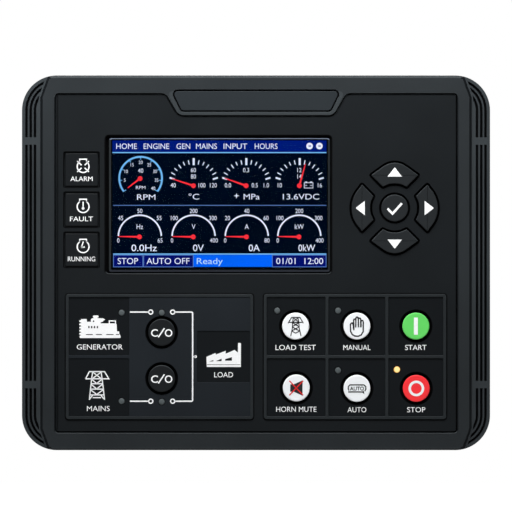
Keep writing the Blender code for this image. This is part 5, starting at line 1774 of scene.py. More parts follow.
@dataclass(frozen=True)
class Lens(Finish):
    """Clear lamp body, darker at its rim, that may be lit from its middle; on an unlit lamp the
    darker rim is painted shade.

    Attributes:
        name: The material's name.
        centre: Middle of the lamp in X and Z.
        radius: Radius of the lamp.
        core: Colour of the middle.
        rim: Colour of the rim.
        glow: Strength of its light, or 0 where it is off.
        rim_start: Share of the radius at which the rim's colour starts to come in.
    """

    name: str
    centre: Point
    radius: float
    core: Colour
    rim: Colour
    glow: float = 0.0
    rim_start: float = 0.75

    def build(self) -> bpy.types.Material:
        """Make the material."""
        graph = Graph(bpy.data.materials.new(self.name))
        flat = graph.add("ShaderNodeVectorMath", {"operation": "MULTIPLY"},
                         {0: graph.place(), 1: (1.0, 0.0, 1.0)})
        away = graph.add("ShaderNodeVectorMath", {"operation": "DISTANCE"},
                         {0: flat, 1: (self.centre[0], 0.0, self.centre[1])}, "Value")
        colour = graph.blend(away.between(self.rim_start * self.radius, self.radius), self.core,
                             self.rim)
        haze = graph.noise(0.0008)
        if self.glow:
            return graph.set(Base_Color=(0.20, 0.15, 0.05, 1.0), Roughness=0.3 + 0.1 * haze,
                             Emission_Color=colour, Emission_Strength=self.glow)
        return graph.set(Base_Color=colour, Roughness=0.55 + 0.1 * haze, Specular_IOR_Level=0.3)


@dataclass
class LampSet:
    """Round indicator lamps with domed tips and collars.

    Attributes:
        radius: Radius of a lamp.
        dome: Height of its rounded tip.
        collar: Radius of the collar at its foot.
        collar_height: Height of the collar.
        steps: Facets round a lamp.
        turns: Angles in degrees of the rings of its rounded tip.
    """

    NAMES: ClassVar[tuple[str, ...]] = ("generator", "mains", "generator_breaker",
                                        "mains_breaker", "test", "manual", "auto", "stop")
    radius: float = 0.00135
    dome: float = 0.0003
    collar: float = 0.0019
    collar_height: float = 0.0008
    steps: int = 32
    turns: tuple[int, ...] = (8, 20, 35, 50, 65, 80, 90)

    def build(self) -> None:
        """Make every lamp, with the stop lamp lit."""
        for name in self.NAMES:
            low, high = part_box(f"lamp_{name}")
            centre = middle(f"lamp_{name}")
            foot = high.y - self.collar_height
            profile = [(self.radius * math.sin(turn), low.y + self.dome * (1 - math.cos(turn)))
                       for turn in map(math.radians, self.turns)]
            profile += [(self.radius, foot), (self.collar, foot), (self.collar, high.y)]
            item = Solid().turned(profile, centre, self.steps).object(f"{name}_lens")
            lit = name == "stop"
            # An unlit lens is darker towards its rim as painted shade; the lit one glows yellow
            # with an orange rim.
            lens = Lens(f"{name}_lens", centre, self.radius,
                        (0.97, 0.86, 0.36) if lit else (0.066, 0.080, 0.084),
                        (0.95, 0.40, 0.05) if lit else (0.050, 0.061, 0.064),
                        0.85 if lit else 0.0)
            fitted(item, f"lamp_{name}", "lamp_lit" if lit else "lamp_clear", made(lens))
        LOG.info("lamps")


@dataclass
class StatusRow:
    """Three square smoked windows beside the screen.

    Attributes:
        corner: Radius of a window's corners.
        edge: Radius of its front edge.
    """

    NAMES: ClassVar[tuple[str, ...]] = ("alarm", "warning", "running")
    corner: float = 0.0006
    edge: float = 0.0003

    def build(self) -> None:
        """Make the windows."""
        for name in self.NAMES:
            low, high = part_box(f"{name}_window")
            outline = rectangle(high.x - low.x - 2 * CLEAR, high.z - low.z - 2 * CLEAR,
                                self.corner, middle(f"{name}_window"), SMALL_STEPS)
            item = Solid().stack(eased(outline, low.y, high.y,
                                       self.edge)).object(f"{name}_smoked_pane")
            fitted(item, f"{name}_window", "status_pane", made(SMOKED))
        LOG.info("status windows")


@dataclass
class ScreenPane:
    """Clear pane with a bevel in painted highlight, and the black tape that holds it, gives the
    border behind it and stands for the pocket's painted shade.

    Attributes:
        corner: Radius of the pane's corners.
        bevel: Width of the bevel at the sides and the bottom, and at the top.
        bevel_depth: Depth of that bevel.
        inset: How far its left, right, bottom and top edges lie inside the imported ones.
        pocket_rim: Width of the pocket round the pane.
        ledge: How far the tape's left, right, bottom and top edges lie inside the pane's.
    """

    corner: float = 0.0011
    bevel: Point = (0.0009, 0.00034)
    bevel_depth: float = 0.0004
    inset: tuple[float, float, float, float] = (0.0002, 0.0001, 0.0002, 0.0004)
    pocket_rim: float = 0.0016
    ledge: tuple[float, float, float, float] = (0.00145, 0.0014, 0.0017, 0.00095)

    def build(self) -> None:
        """Make the pane and its tape."""
        low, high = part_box("display_window")
        left, right, below, above = self.inset
        side, top = self.bevel
        foot = low.y + self.bevel_depth
        outline = Fascia.box((low.x + left, high.x - right, low.z + below, high.z - above),
                             self.corner)
        face_outline = Fascia.box((low.x + left + side, high.x - right - side,
                                   low.z + below + side, high.z - above - top), self.corner / 2)
        item = Solid().stack([(low.y, face_outline), (foot, outline),
                              (high.y, outline)]).object("screen_pane")
        dress(item, HOUSING, "screen_pane", made(CLEAR_PANE), made(BEVEL_HIGHLIGHT), made(UPPER_BEVEL_HIGHLIGHT),
              made(SHADE), made(LINE_AND_PAINTED_LIGHT))
        # Painted light on the bevel: a bright painted highlight on the upper bevel, a dimmer one on
        # the lower bevel and darker grey on the side bevels; the side walls get painted shade.
        for face in item.data.polygons:
            if abs(face.normal.y) < 0.99:
                rim = (2 if face.normal.z > TILTED
                       else 4 if abs(face.normal.x) > TILTED else 1)
                face.material_index = rim if face.center.y < foot else 3
        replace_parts(item, "display_window")
        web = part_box("fascia_panel")[1].y + CLEAR
        rim = self.pocket_rim + CLEAR
        # The black tape also carries painted shade round the pane.
        tape = Solid().prism(grown(outline, rim), high.y + PRINT_LIFT, web).object("pane_tape")
        near, far, under, over = self.ledge
        opening = Fascia.box((low.x + left + near, high.x - right - far,
                              low.z + below + under, high.z - above - over))
        carve(tape, Solid().prism(opening, high.y - BEYOND, web + BEYOND))
        dress(tape, HOUSING, None, made(SHADE))
        LOG.info("screen pane")


@dataclass
class Nameplate:
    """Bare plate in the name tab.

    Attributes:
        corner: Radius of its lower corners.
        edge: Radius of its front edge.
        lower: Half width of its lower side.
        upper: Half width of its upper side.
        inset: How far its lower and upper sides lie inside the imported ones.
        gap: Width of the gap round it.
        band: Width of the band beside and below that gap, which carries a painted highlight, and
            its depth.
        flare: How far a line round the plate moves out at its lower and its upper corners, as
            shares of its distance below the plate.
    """

    corner: float = 0.0015
    edge: float = 0.00022
    lower: float = 0.03315
    upper: float = 0.03734
    inset: Point = (0.0, 0.00086)
    gap: float = 0.00062
    band: Point = (0.0016, 0.00003)
    flare: Point = (0.6, 1.1)

    def outline(self) -> Outline:
        """Edge of the plate, wider at the top."""
        return self.around(0.0, 0.0)

    def around(self, below: float, above: float) -> Outline:
        """Line round the plate.

        Args:
            below: How far it lies outside the plate's lower side and flanks.
            above: How far it lies outside the plate's upper side.

        Returns:
            The line.
        """
        low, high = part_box("nameplate")
        bottom, top = low.z + self.inset[0] - below, high.z - self.inset[1] + above
        lower = self.lower + self.flare[0] * below
        upper = self.upper + self.flare[1] * below
        return filleted([(lower, bottom, self.corner + below), (upper, top, self.corner),
                         (-upper, top, self.corner), (-lower, bottom, self.corner + below)],
                        SMALL_STEPS)

    def build(self) -> None:
        """Make the plate."""
        low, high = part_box("nameplate")
        item = Solid().stack(eased(self.outline(), low.y, high.y, self.edge)).object("name_tab")
        fitted(item, "nameplate", "nameplate_plastic", made(NAMEPLATE_PLASTIC))
        LOG.info("nameplate")


@dataclass(frozen=True)
class Symbol:
    """Line drawing in millimetres round its own middle.

    Attributes:
        shapes: Filled outlines.
        lines: Lines through points.
        rings: Middle and radius of circles drawn as lines.
        discs: Middle and radius of filled circles.
        stroke: Width of lines and rings.
    """

    shapes: tuple[tuple[Point, ...], ...] = ()
    lines: tuple[tuple[Point, ...], ...] = ()
    rings: tuple[tuple[Point, float], ...] = ()
    discs: tuple[tuple[Point, float], ...] = ()
    stroke: float = 0.5

    def draw(self, drawing: Drawing, centre: Point, ink: int = 0, scale: float = 0.001) -> None:
        """Add the symbol to a drawing.

        Args:
            drawing: What receives it.
            centre: Where its middle goes.
            ink: Index of its material.
            scale: Metres for each millimetre of the symbol.
        """
        def at(point: Point) -> Point:
            """Place of one of the symbol's points."""
            return centre[0] + point[0] * scale, centre[1] + point[1] * scale

        for shape in self.shapes:
            drawing.polygon([at(point) for point in shape], ink)
        for line in self.lines:
            drawing.ribbon([at(point) for point in line], self.stroke * scale, ink)
        for middle_point, radius in self.rings:
            drawing.ring(at(middle_point), radius * scale, self.stroke * scale, ink)
        for middle_point, radius in self.discs:
            drawing.disc(at(middle_point), radius * scale, ink)


def fins(left: float, right: float, low: float, high: float, count: int) -> tuple[Point, ...]:
    """Points of a finned edge, from its lower end upwards.

    Args:
        left: Where the fins end.
        right: Where they start.
        low: Lower end of the edge.
        high: Upper end of the edge.
        count: Number of fins.

    Returns:
        The points.
    """
    pitch = (high - low) / count
    return tuple((x, low + pitch * (fin + share)) for fin in range(count)
                 for x, share in ((right, 0.1), (left, 0.3), (left, 0.7), (right, 0.9)))


ENGINE_SET = Symbol(
    shapes=((
        (-8.6, 3.6), *fins(-9.3, -8.5, -3.7, 3.3, 5)[::-1], (-9.0, -3.8), (-9.2, -4.4),
        (-8.9, -4.9), (9.0, -4.9), (9.2, -4.3), (9.0, -3.7), (8.6, -3.1), (8.5, -1.9), (7.5, -1.9),
        (7.4, 1.2), (7.1, 1.65), (0.4, 1.65), (0.2, 2.2), (1.2, 2.4), (1.6, 3.0), (2.3, 3.3),
        (1.4, 3.9), (-1.4, 4.0), (-0.7, 4.4), (-0.7, 4.9), (-1.0, 5.2), (-2.9, 5.2),
        (-3.2, 4.9), (-3.1, 4.4), (-2.9, 4.0), (-3.7, 3.9), (-4.2, 3.3), (-4.1, 2.4),
        (-5.9, 2.4), (-6.0, 3.6)),),
    lines=(((4.1, 1.6), (4.1, 2.75), (6.85, 2.75), (6.85, 1.6)),))
ENGINE_MARKS = Symbol(
    shapes=tuple(((x - 0.28, -0.5), (x + 0.28, -0.5), (x + 0.28, 0.5), (x - 0.28, 0.5))
                 for x in (-5.0, -3.75, -2.5, -1.2))
    + tuple(((left, -3.5), (right, -3.5), (right, -3.15), (left, -3.15))
            for left, right in ((-6.3, -3.3), (-1.9, 0.8), (2.7, 6.0), (7.1, 8.5))),
    discs=(((-2.9, 2.6), 0.33),))
PYLON = Symbol(
    lines=(((-5.1, 3.1), (-3.4, 6.3), (3.4, 6.3), (5.3, 3.1), (-5.1, 3.1)),
           ((-1.9, 6.3), (-2.4, 3.1), (-3.4, -6.3)), ((1.8, 6.3), (2.3, 3.1), (3.4, -6.3)),
           ((-1.9, 6.1), (1.9, 3.2)), ((1.8, 6.1), (-2.0, 3.2)),
           ((-2.3, 2.8), (-0.1, 1.0), (2.1, 2.8)), ((-2.6, 0.9), (2.5, 0.9)),
           ((-2.6, 0.6), (-0.1, -1.4), (2.4, 0.6)), ((-2.9, -1.5), (2.8, -1.5)),
           ((-2.9, -1.8), (-0.1, -3.9), (2.8, -1.8)), ((-3.2, -4.1), (3.1, -4.1)),
           ((-2.0, -4.3), (-3.2, -5.9)), ((1.8, -4.3), (3.1, -5.9)),
           ((-1.9, -5.3), (1.8, -5.3))), stroke=0.52)
FACTORY = Symbol(shapes=((
    (-7.7, -0.7), (-3.6, 1.0), (-3.5, 0.3), (0.9, 2.0), (0.9, 0.7), (4.9, 2.4), (6.4, 1.2),
    (6.4, 5.2), (6.6, 5.5), (7.5, 5.5), (7.7, 5.2), (7.7, -5.2), (-7.5, -5.2)),))
FACTORY_MARKS = Symbol(shapes=(
    ((-6.4, -2.8), (-4.6, -2.7), (-4.6, -2.1)), ((-3.5, -2.6), (-0.9, -2.6), (-0.9, -1.5)),
    ((0.7, -2.4), (3.7, -2.4), (3.7, -0.8), (0.7, -1.7)),
    ((-7.4, -4.3), (7.4, -4.3), (7.4, -4.08), (-7.4, -4.08))))
SMALL_PYLON = Symbol(
    lines=(((-3.4, 1.3), (-1.8, 3.9), (1.9, 3.9), (3.4, 1.3)), ((-2.9, 1.7), (2.9, 1.7)),
           ((-1.0, 3.9), (-1.4, 1.7), (-1.5, -0.9), (-2.2, -4.5)),
           ((1.0, 3.9), (1.4, 1.7), (1.6, -0.9), (2.4, -4.5)),
           ((-1.0, 3.7), (1.3, 1.9)), ((1.0, 3.7), (-1.3, 1.9)),
           ((-1.4, 1.6), (1.5, -0.2)), ((1.4, 1.6), (-1.5, -0.2)),
           ((-1.6, -0.3), (1.7, -2.1)), ((1.6, -0.3), (-1.8, -2.1)),
           ((-1.8, -2.1), (0.0, -3.1), (1.9, -2.1))), stroke=0.42)
HAND = Symbol(
    lines=(((-1.4, -1.8), (-1.7, 0.9), (-2.1, 1.4), (-2.6, 1.3), (-2.9, 0.8), (-2.85, -2.3),
            (-2.1, -3.7), (-0.9, -4.4), (0.6, -4.5), (1.9, -3.9), (2.8, -2.4), (2.8, 2.0),
            (2.6, 2.5), (2.1, 2.5), (1.8, 2.1), (1.75, -0.5)),
           ((1.72, -0.5), (1.7, 3.0), (1.5, 3.5), (0.9, 3.6), (0.65, 3.2), (0.6, -0.5)),
           ((0.6, 3.2), (0.5, 3.8), (0.0, 4.1), (-0.4, 3.8), (-0.5, 3.2), (-0.53, -0.5)),
           ((-0.53, 2.9), (-0.8, 3.2), (-1.3, 3.1), (-1.5, 2.7), (-1.4, -1.8))), stroke=0.6)
HORN = Symbol(shapes=(((-2.7, -1.6), (-1.2, -1.6), (2.75, -3.4), (2.75, 3.4), (-1.2, 1.6),
                       (-2.7, 1.6)),))
CROSS = Symbol(lines=(((-3.1, 3.2), (3.0, -3.2)), ((3.0, 3.2), (-3.1, -3.2))), stroke=0.5)
LOOP = Symbol(
    shapes=(((3.0, -1.0), (3.3, -2.5), (2.0, -1.5)),),
    lines=(((-3.5, -0.9), (-3.9, -0.2), (-3.8, 0.9), (-3.1, 1.6), (3.1, 1.6), (3.9, 0.9),
            (4.0, -0.3), (3.5, -1.2)), ((-3.9, -1.55), (2.2, -1.55))), stroke=0.5)
BAR = Symbol(shapes=(((-0.88, -3.85), (0.88, -3.85), (0.88, 3.85), (-0.88, 3.85)),))
HOOP = Symbol(rings=(((0.0, 0.0), 2.95),), stroke=1.12)
ARROW = Symbol(shapes=(((-3.2, -1.95), (3.2, -1.95), (0.2, 1.95), (-0.2, 1.95)),))
TICK = Symbol(lines=(((-3.2, -0.2), (-1.0, -2.5), (3.2, 2.1)),), stroke=1.0)
SLASH = Symbol(lines=(((-1.52, -2.15), (1.25, 1.92)),), stroke=0.6)


def flask(*lines: tuple[Point, ...], disc: tuple[Point, float] | None = None) -> Symbol:
    """Round status symbol with a filler neck on top.

    Args:
        lines: What is drawn over it.
        disc: A dot in it.

    Returns:
        The symbol.
    """
    body = [(x, z) for x, z in arc((0.0, 0.0), 2.65, 122.0, 418.0, 28)]
    neck = ((1.45, 2.2), (1.5, 3.3), (-1.5, 3.3), (-1.45, 2.2))
    rim = (tuple(body), (body[0], *neck[::-1], body[-1]))
    return Symbol(lines=(*rim, *lines), discs=(disc,) if disc else (), stroke=0.55)


STATUS = {
    "alarm": ("ALARM", 9.9, flask(*((((sx * 2.6, sz * 2.4), (sx * 0.7, sz * 0.6)))
                                    for sx in (-1, 1) for sz in (-1, 1)))),
    "warning": ("FAULT", 10.3, flask(((0.0, 2.2), (0.0, -0.6)), disc=((0.0, -0.75), 0.62))),
    "running": ("RUNNING", 12.2, flask(((0.1, 2.3), (-0.8, -0.3)), ((-0.9, -0.35), (0.8, -0.1)),
                                       disc=((-0.55, -0.2), 0.42))),
}


@dataclass
class Prints:
    """White, black and red screen printing on the panel, the windows and the keys.

    Attributes:
        cap: Height of the labels' capitals.
        label_drop: How far the keys' labels lie below their keys.
        line: Width of the mimic lines.
        line_start: Distance of a line's start from the cell that it leaves.
        ring: Radius of the mimic's small rings.
        ring_line: Width of those rings' lines.
        ring_reach: Distance of the rings from the middle of their key.
        rail: Distance of the upright line from the middle of the keys.
        bend: Radius of that line's bends.
        branch: How far the line to the load and its dot lie beyond the rail, and the dot's radius.
        status_icon: Place of a status symbol in its window.
        status_label: How far its label lies below the window's middle.
        status_cap: Height of that label's capitals.
        auto_size: Height and width of the lettering on the automatic key.
        letter_height: Height of the changeover keys' letters.
        letter_drop: How far they lie below the middle of their key.
        arrow_reach: Distance of the arrows at the sides, and above and below, from the pad's
            middle.
    """

    KEY_LABELS: ClassVar[dict[str, tuple[str, float]]] = {
        "test": ("LOAD TEST", 0.0180), "manual": ("MANUAL", 0.0122), "start": ("START", 0.0096),
        "mute": ("HORN MUTE", 0.0180), "auto": ("AUTO", 0.0084), "stop": ("STOP", 0.0081),
    }
    CELLS: ClassVar[tuple[tuple[str, Point, float, Symbol, Symbol, Point], ...]] = (
        ("GENERATOR", (0.00035, -0.03750), 0.0205, ENGINE_SET, ENGINE_MARKS, (0.0005, -0.02870)),
        ("MAINS", (-0.0003, -0.06500), 0.0102, PYLON, Symbol(), (-0.0009, -0.05490)),
        ("LOAD", (0.0001, -0.04990), 0.0084, FACTORY, FACTORY_MARKS, (0.0001, -0.04130)),
    )
    KEYS: ClassVar[tuple[tuple[str, Symbol, Ink], ...]] = (
        ("test", SMALL_PYLON, INK_BLACK), ("manual", HAND, INK_BLACK),
        ("start", BAR, INK_WHITE), ("mute", HORN, INK_BLACK),
        ("auto", LOOP, INK_BLACK), ("stop", HOOP, INK_WHITE),
    )
    LETTERS: ClassVar[tuple[tuple[str, float, float], ...]] = (
        ("C", -0.00320, 0.0031), ("O", 0.00310, 0.0034),
    )
    cap: float = 0.00243
    label_drop: float = 0.00945
    line: float = 0.00062
    line_start: float = 0.0003
    ring: float = 0.00092
    ring_line: float = 0.00055
    ring_reach: float = 0.0049
    rail: float = 0.0138
    bend: float = 0.0006
    branch: tuple[float, float, float] = (0.0014, 0.0013, 0.00068)
    status_icon: Point = (0.0007, 0.0014)
    status_label: float = 0.0040
    status_cap: float = 0.0022
    auto_size: Point = (0.0017, 0.0062)
    letter_height: float = 0.0034
    letter_drop: float = 0.0001
    arrow_reach: Point = (0.0153, 0.0160)

    def labels(self, fascia: Fascia) -> None:
        """Print the names under the keys and in the mimic's cells."""
        sheet = Drawing(made(INK_WHITE))
        marks = Drawing(made(CELL_AND_PAINTED_SHADE))
        for name, (words, width) in self.KEY_LABELS.items():
            x, z = middle(f"key_{name}")
            sheet.text(words, (x, z - self.label_drop), self.cap, width)
        fuel_x = (fascia.mimic_left + fascia.rib) + fascia.fuel_width / 2
        load_x = sum(fascia.load_cell()[:2]) / 2
        for words, label, width, symbol, overlay, place in self.CELLS:
            x = load_x if words == "LOAD" else fuel_x
            sheet.text(words, (x + label[0], label[1]), self.cap, width)
            symbol.draw(sheet, (x + place[0], place[1]))
            overlay.draw(marks, (x + place[0], place[1]))
        sheet.place("cell_prints", fascia.front)
        marks.place("cell_marks", fascia.front - PRINT_THICKNESS - PRINT_LIFT)
        LOG.info("labels")

    def mimic(self, fascia: Fascia) -> None:
        """Print the changeover lines on the mimic plate."""
        sheet = Drawing(made(INK_WHITE))
        key_x = middle("key_generator_breaker")[0]
        start = fascia.mimic_left + fascia.rib + fascia.fuel_width + self.line_start
        left, right, rail = key_x - self.ring_reach, key_x + self.ring_reach, key_x + self.rail
        levels = [middle(f"lamp_{name}_breaker")[1] + self.line / 2
                  for name in ("generator", "mains")]
        for z in levels:
            sheet.ribbon([(start, z), (left - self.ring, z)], self.line)
            for x in (left, right):
                sheet.ring((x, z), self.ring, self.ring_line, steps=24)
        top, bottom = levels
        bend, inner = self.bend, rail - self.bend
        sheet.ribbon([(right + self.ring, top), *arc((inner, top - bend), bend, 90, 0, 5),
                      *arc((inner, bottom + bend), bend, 0, -90, 5),
                      (right + self.ring, bottom)], self.line)
        half = (top + bottom) / 2
        reach, dot, radius = self.branch
        sheet.ribbon([(rail + self.line / 2, half), (rail + reach, half)], self.line)
        sheet.disc((rail + dot, half), radius)
        sheet.place("mimic_lines", fascia.front - fascia.plate_raise)
        LOG.info("mimic lines")

    def windows(self) -> None:
        """Print the status windows."""
        for name, (words, width, symbol) in STATUS.items():
            sheet = Drawing(made(INK_WHITE))
            x, z = middle(f"{name}_window")
            symbol.draw(sheet, (x + self.status_icon[0], z + self.status_icon[1]))
            sheet.text(words, (x, z - self.status_label), self.status_cap, width / 1000)
            sheet.place(f"{name}_print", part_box(f"{name}_window")[0].y)

    def on_key(self, name: str, sheet: Drawing, label: str, dish: float = 0.0) -> None:
        """Place a drawing on a key's cap."""
        sheet.place(label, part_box(f"key_{name}")[0].y + dish, f"{name}_key")

    def keys(self, pad: MenuPad) -> None:
        """Print every key.

        Args:
            pad: The menu keys.
        """
        for name, symbol, ink in self.KEYS:
            sheet = Drawing(made(ink))
            centre = middle(f"key_{name}")
            symbol.draw(sheet, centre)
            if name == "auto":
                sheet.text("AUTO", centre, *self.auto_size, weight=0.02)
            self.on_key(name, sheet, f"{name}_symbol")
        sheet = Drawing(made(INK_RED))
        CROSS.draw(sheet, middle("key_mute"))
        self.on_key("mute", sheet, "mute_cross", -PRINT_THICKNESS - PRINT_LIFT)
        for name in ("generator_breaker", "mains_breaker"):
            sheet = Drawing(made(INK_WHITE))
            x, z = middle(f"key_{name}")
            for letter, away, width in self.LETTERS:
                sheet.text(letter, (x + away, z - self.letter_drop), self.letter_height, width,
                           weight=0.014)
            SLASH.draw(sheet, (x, z))
            self.on_key(name, sheet, f"{name}_symbol")
        sheet = Drawing(made(INK_WHITE))
        TICK.draw(sheet, pad.centre())
        self.on_key("confirm", sheet, "confirm_symbol")
        x, z = pad.centre()
        for name, turn in pad.TURNS.items():
            sheet = Drawing(made(INK_WHITE))
            angle = math.radians(turn)
            along = (math.cos(angle), math.sin(angle))
            reach = self.arrow_reach[turn % 180 // 90] * 1000
            points = [(x + (along[0] * (reach + b) + along[1] * a) / 1000,
                       z + (along[1] * (reach + b) - along[0] * a) / 1000)
                      for a, b in ARROW.shapes[0]]
            sheet.polygon(points)
            self.on_key(name, sheet, f"{name}_symbol")
        LOG.info("key symbols")

    def build(self, fascia: Fascia, pad: MenuPad) -> None:
        """Make every print."""
        self.labels(fascia)
        self.mimic(fascia)
        self.windows()
        self.keys(pad)


SCREEN_BACK = Lit("screen_back", (0.0, 0.0022, 0.0100), 0.3)
SCREEN_FOOT = Lit("screen_foot", (0.0008, 0.0048, 0.140))
SCREEN_BAR = Lit("screen_bar", (0.0, 0.0095, 0.180))
SCREEN_RULE = Lit("screen_rule", (0.16, 0.46, 0.87))
SCREEN_FAINT = Lit("screen_faint", (0.10, 0.21, 0.56))
SCREEN_READY = Lit("screen_ready", (0.0006, 0.127, 0.965))
SCREEN_WORDS = Lit("screen_words", (0.78, 0.82, 1.0))
SCREEN_PALE = Lit("screen_pale", (0.48, 0.74, 1.0))
SCREEN_NEEDLE = Lit("screen_needle", (0.85, 0.030, 0.045))


@dataclass(frozen=True)
class Dial:
    """One gauge of the lower row.

    Attributes:
        column: Where its needle's hub is.
        marks: Numbers at the left foot, left, top, right and right foot.
        unit: Unit inside the arc.
        value: Value below, with its middle and its width.
    """

    column: float
    marks: tuple[str, str, str, str, str]
    unit: str
    value: tuple[str, float, float]


@dataclass(frozen=True)
class Ticks:
    """One gauge of the upper row, with a scale of ticks.

    Attributes:
        column: Where its needle's hub is.
        top: Numbers below the middle tick.
        level: Numbers beside the hub and how far each lies from it.
        unit: Unit or value below, with its middle and its width.
        needle: Angle of the needle.
    """

    column: float
    top: tuple[str, ...]
    level: tuple[tuple[str, float], ...]
    unit: tuple[str, float, float]
    needle: float


@dataclass
class Screen:
    """Lit picture of the colour screen, laid out in columns from the left and rows from the top.

    Attributes:
        columns: Columns of the layout.
        rows: Rows of the layout.
        centre_shift: How far the picture's middle lies from the pane's.
        pitch: Size of a column or row.
        digit: Height of a small number in rows.
        thin: Width of a thin frame's lines in rows.
    """

    DIALS: ClassVar[tuple[Dial, ...]] = (
        Dial(27.0, ("0", "45", "50", "55", "65"), "Hz", ("0.0Hz", 31.3, 25.5)),
        Dial(80.8, ("0", "100", "200", "300", "400"), "V", ("0V", 85.6, 10.9)),
        Dial(134.0, ("0", "20", "40", "60", "80"), "A", ("0A", 141.5, 11.2)),
        Dial(186.6, ("0", "100", "200", "300", "400"), "kW", ("0kW", 194.1, 16.8)),
    )
    GAUGES: ClassVar[tuple[Ticks, ...]] = (
        Ticks(80.6, ("60", "80"), (("40", -20.2), ("100", 8.6), ("120", 20.0)),
              ("\u00b0C", 81.1, 10.5), 162.0),
        Ticks(133.3, ("0.3",), (("0.0", -18.1), ("0.5", 8.7), ("1.0", 20.3)),
              ("MPa", 138.9, 16.0), 160.5),
        Ticks(186.7, ("12", "14"), (("10", -19.6), ("16", 20.5)), ("13.6VDC", 188.3, 36.4), 74.7),
    )
    TABS: ClassVar[tuple[tuple[str, float, float], ...]] = (
        ("HOME", 3.4, 24.1), ("ENGINE", 30.8, 56.4), ("GEN", 63.7, 77.4),
        ("MAINS", 83.2, 104.2), ("INPUT", 110.8, 134.5), ("HOURS", 142.0, 164.8),
    )
    columns: float = 214.0
    rows: float = 128.0
    centre_shift: Point = (0.00014, 0.00065)
    pitch: float = 0.0004471
    digit: float = 4.6
    thin: float = 0.6

    def __post_init__(self) -> None:
        """Find the picture's middle and start its layers."""
        x, z = middle("display_window")
        self.centre = (x + self.centre_shift[0], z + self.centre_shift[1])
        self.back = Drawing(made(SCREEN_BACK))
        self.bars = Drawing(made(SCREEN_BAR), made(SCREEN_READY), made(SCREEN_FOOT))
        self.face = Drawing(made(SCREEN_WORDS), made(SCREEN_RULE), made(SCREEN_FAINT),
                            made(SCREEN_PALE))
        self.needles = Drawing(made(SCREEN_NEEDLE), made(SCREEN_BAR))

    def at(self, column: float, row: float) -> Point:
        """Place of a column and row."""
        return (self.centre[0] + (column - self.columns / 2) * self.pitch,
                self.centre[1] - (row - self.rows / 2) * self.pitch)

    def bar(self, drawing: Drawing, left: float, right: float, top: float, bottom: float,
            ink: int = 0) -> None:
        """Fill a box between columns and rows."""
        (x0, z0), (x1, z1) = self.at(left, bottom), self.at(right, top)
        drawing.polygon([(x0, z0), (x1, z0), (x1, z1), (x0, z1)], ink)

    def frame(self, left: float, right: float, top: float, bottom: float, ink: int = 0) -> None:
        """Draw a thin frame between columns and rows."""
        corners = [self.at(left, bottom), self.at(right, bottom), self.at(right, top),
                   self.at(left, top)]
        self.face.ribbon(corners, self.thin * self.pitch, ink, closed=True)

    def words(self, text: str, column: float, row: float, cap: float,
              width: float | None = None, ink: int = 0, weight: float = 0.0) -> None:
        """Write a line round a column and row.

        Args:
            text: What it says.
            column: Middle of the line.
            row: Middle of its capitals.
            cap: Height of its capitals in rows.
            width: Width in columns.
            ink: Index of its material.
            weight: Extra thickness of the strokes.
        """
        self.face.text(text, self.at(column, row), cap * self.pitch,
                       width * self.pitch if width else None, ink, weight)

    def stroke(self, drawing: Drawing, column: float, row: float, angle: float, near: float,
               far: float, thick: float, ink: int = 0, tip: float | None = None) -> None:
        """Draw a straight stroke outwards from a point.

        Args:
            drawing: What receives it.
            column: Column of the point.
            row: Row of the point.
            angle: Direction in degrees, anticlockwise from the right.
            near: Where the stroke starts.
            far: Where it ends.
            thick: Its thickness.
            ink: Index of its material.
            tip: Its thickness at the end, if that differs.
        """
        x, z = self.at(column, row)
        cosine, sine = math.cos(math.radians(angle)), math.sin(math.radians(angle))
        wide = [(near, -thick / 2), (far, -(tip or thick) / 2), (far, (tip or thick) / 2),
                (near, thick / 2)]
        drawing.polygon([(x + self.pitch * (along * cosine - across * sine),
                          z + self.pitch * (along * sine + across * cosine))
                         for along, across in wide], ink)

    def needle(self, column: float, row: float, angle: float, length: float) -> None:
        """Draw a tapered needle on its hub."""
        self.stroke(self.needles, column, row, angle, 0.0, length, 2.0, tip=0.9)
        self.needles.disc(self.at(column, row), 2.45 * self.pitch)

    def header(self) -> None:
        """Lay out the bar with the tabs and the two round marks."""
        self.bar(self.back, -3, self.columns + 3, -3, self.rows + 3)
        self.bar(self.bars, -1.0, self.columns - 0.3, -0.6, 12.5)
        self.bar(self.face, -1.0, self.columns - 0.3, 12.5, 13.6, 1)
        row, cap, radius = 6.5, 5.8, 3.3
        for words, left, right in self.TABS:
            self.words(words, (left + right) / 2, row, cap, right - left)
        for column in (196.9, 206.7):
            self.face.disc(self.at(column, row), radius * self.pitch)
            self.stroke(self.needles, column, row, 0.0, -1.0, 1.4, 1.0, 1)

    def rev_counter(self) -> None:
        """Lay out the round gauge at the left of the upper row."""
        column, row, radius = 27.8, 38.7, 21.4
        start, sweep, marks, inside = 218.5, 257.0, 8, 16.0
        ring = arc(self.at(column, row), radius * self.pitch, start, start - sweep, 48)
        self.face.ribbon(ring, 1.85 * self.pitch, 1)
        for index in range(marks + 1):
            angle = start - sweep * index / marks
            turn = math.radians(angle)
            self.stroke(self.face, column, row, angle, 18.6, 20.6, 0.8, 1)
            if index:
                self.words(str(5 * index), column + inside * math.cos(turn),
                           row - inside * math.sin(turn), 3.6)
        self.words("40", column, 30.9, self.digit)
        self.words("RPM", column, 47.9, 3.4, 9.4)
        self.words("RPM", 33.4, 57.4, 5.7, 18.4)
        self.needle(27.2, 39.0, 217.5, 15.5)

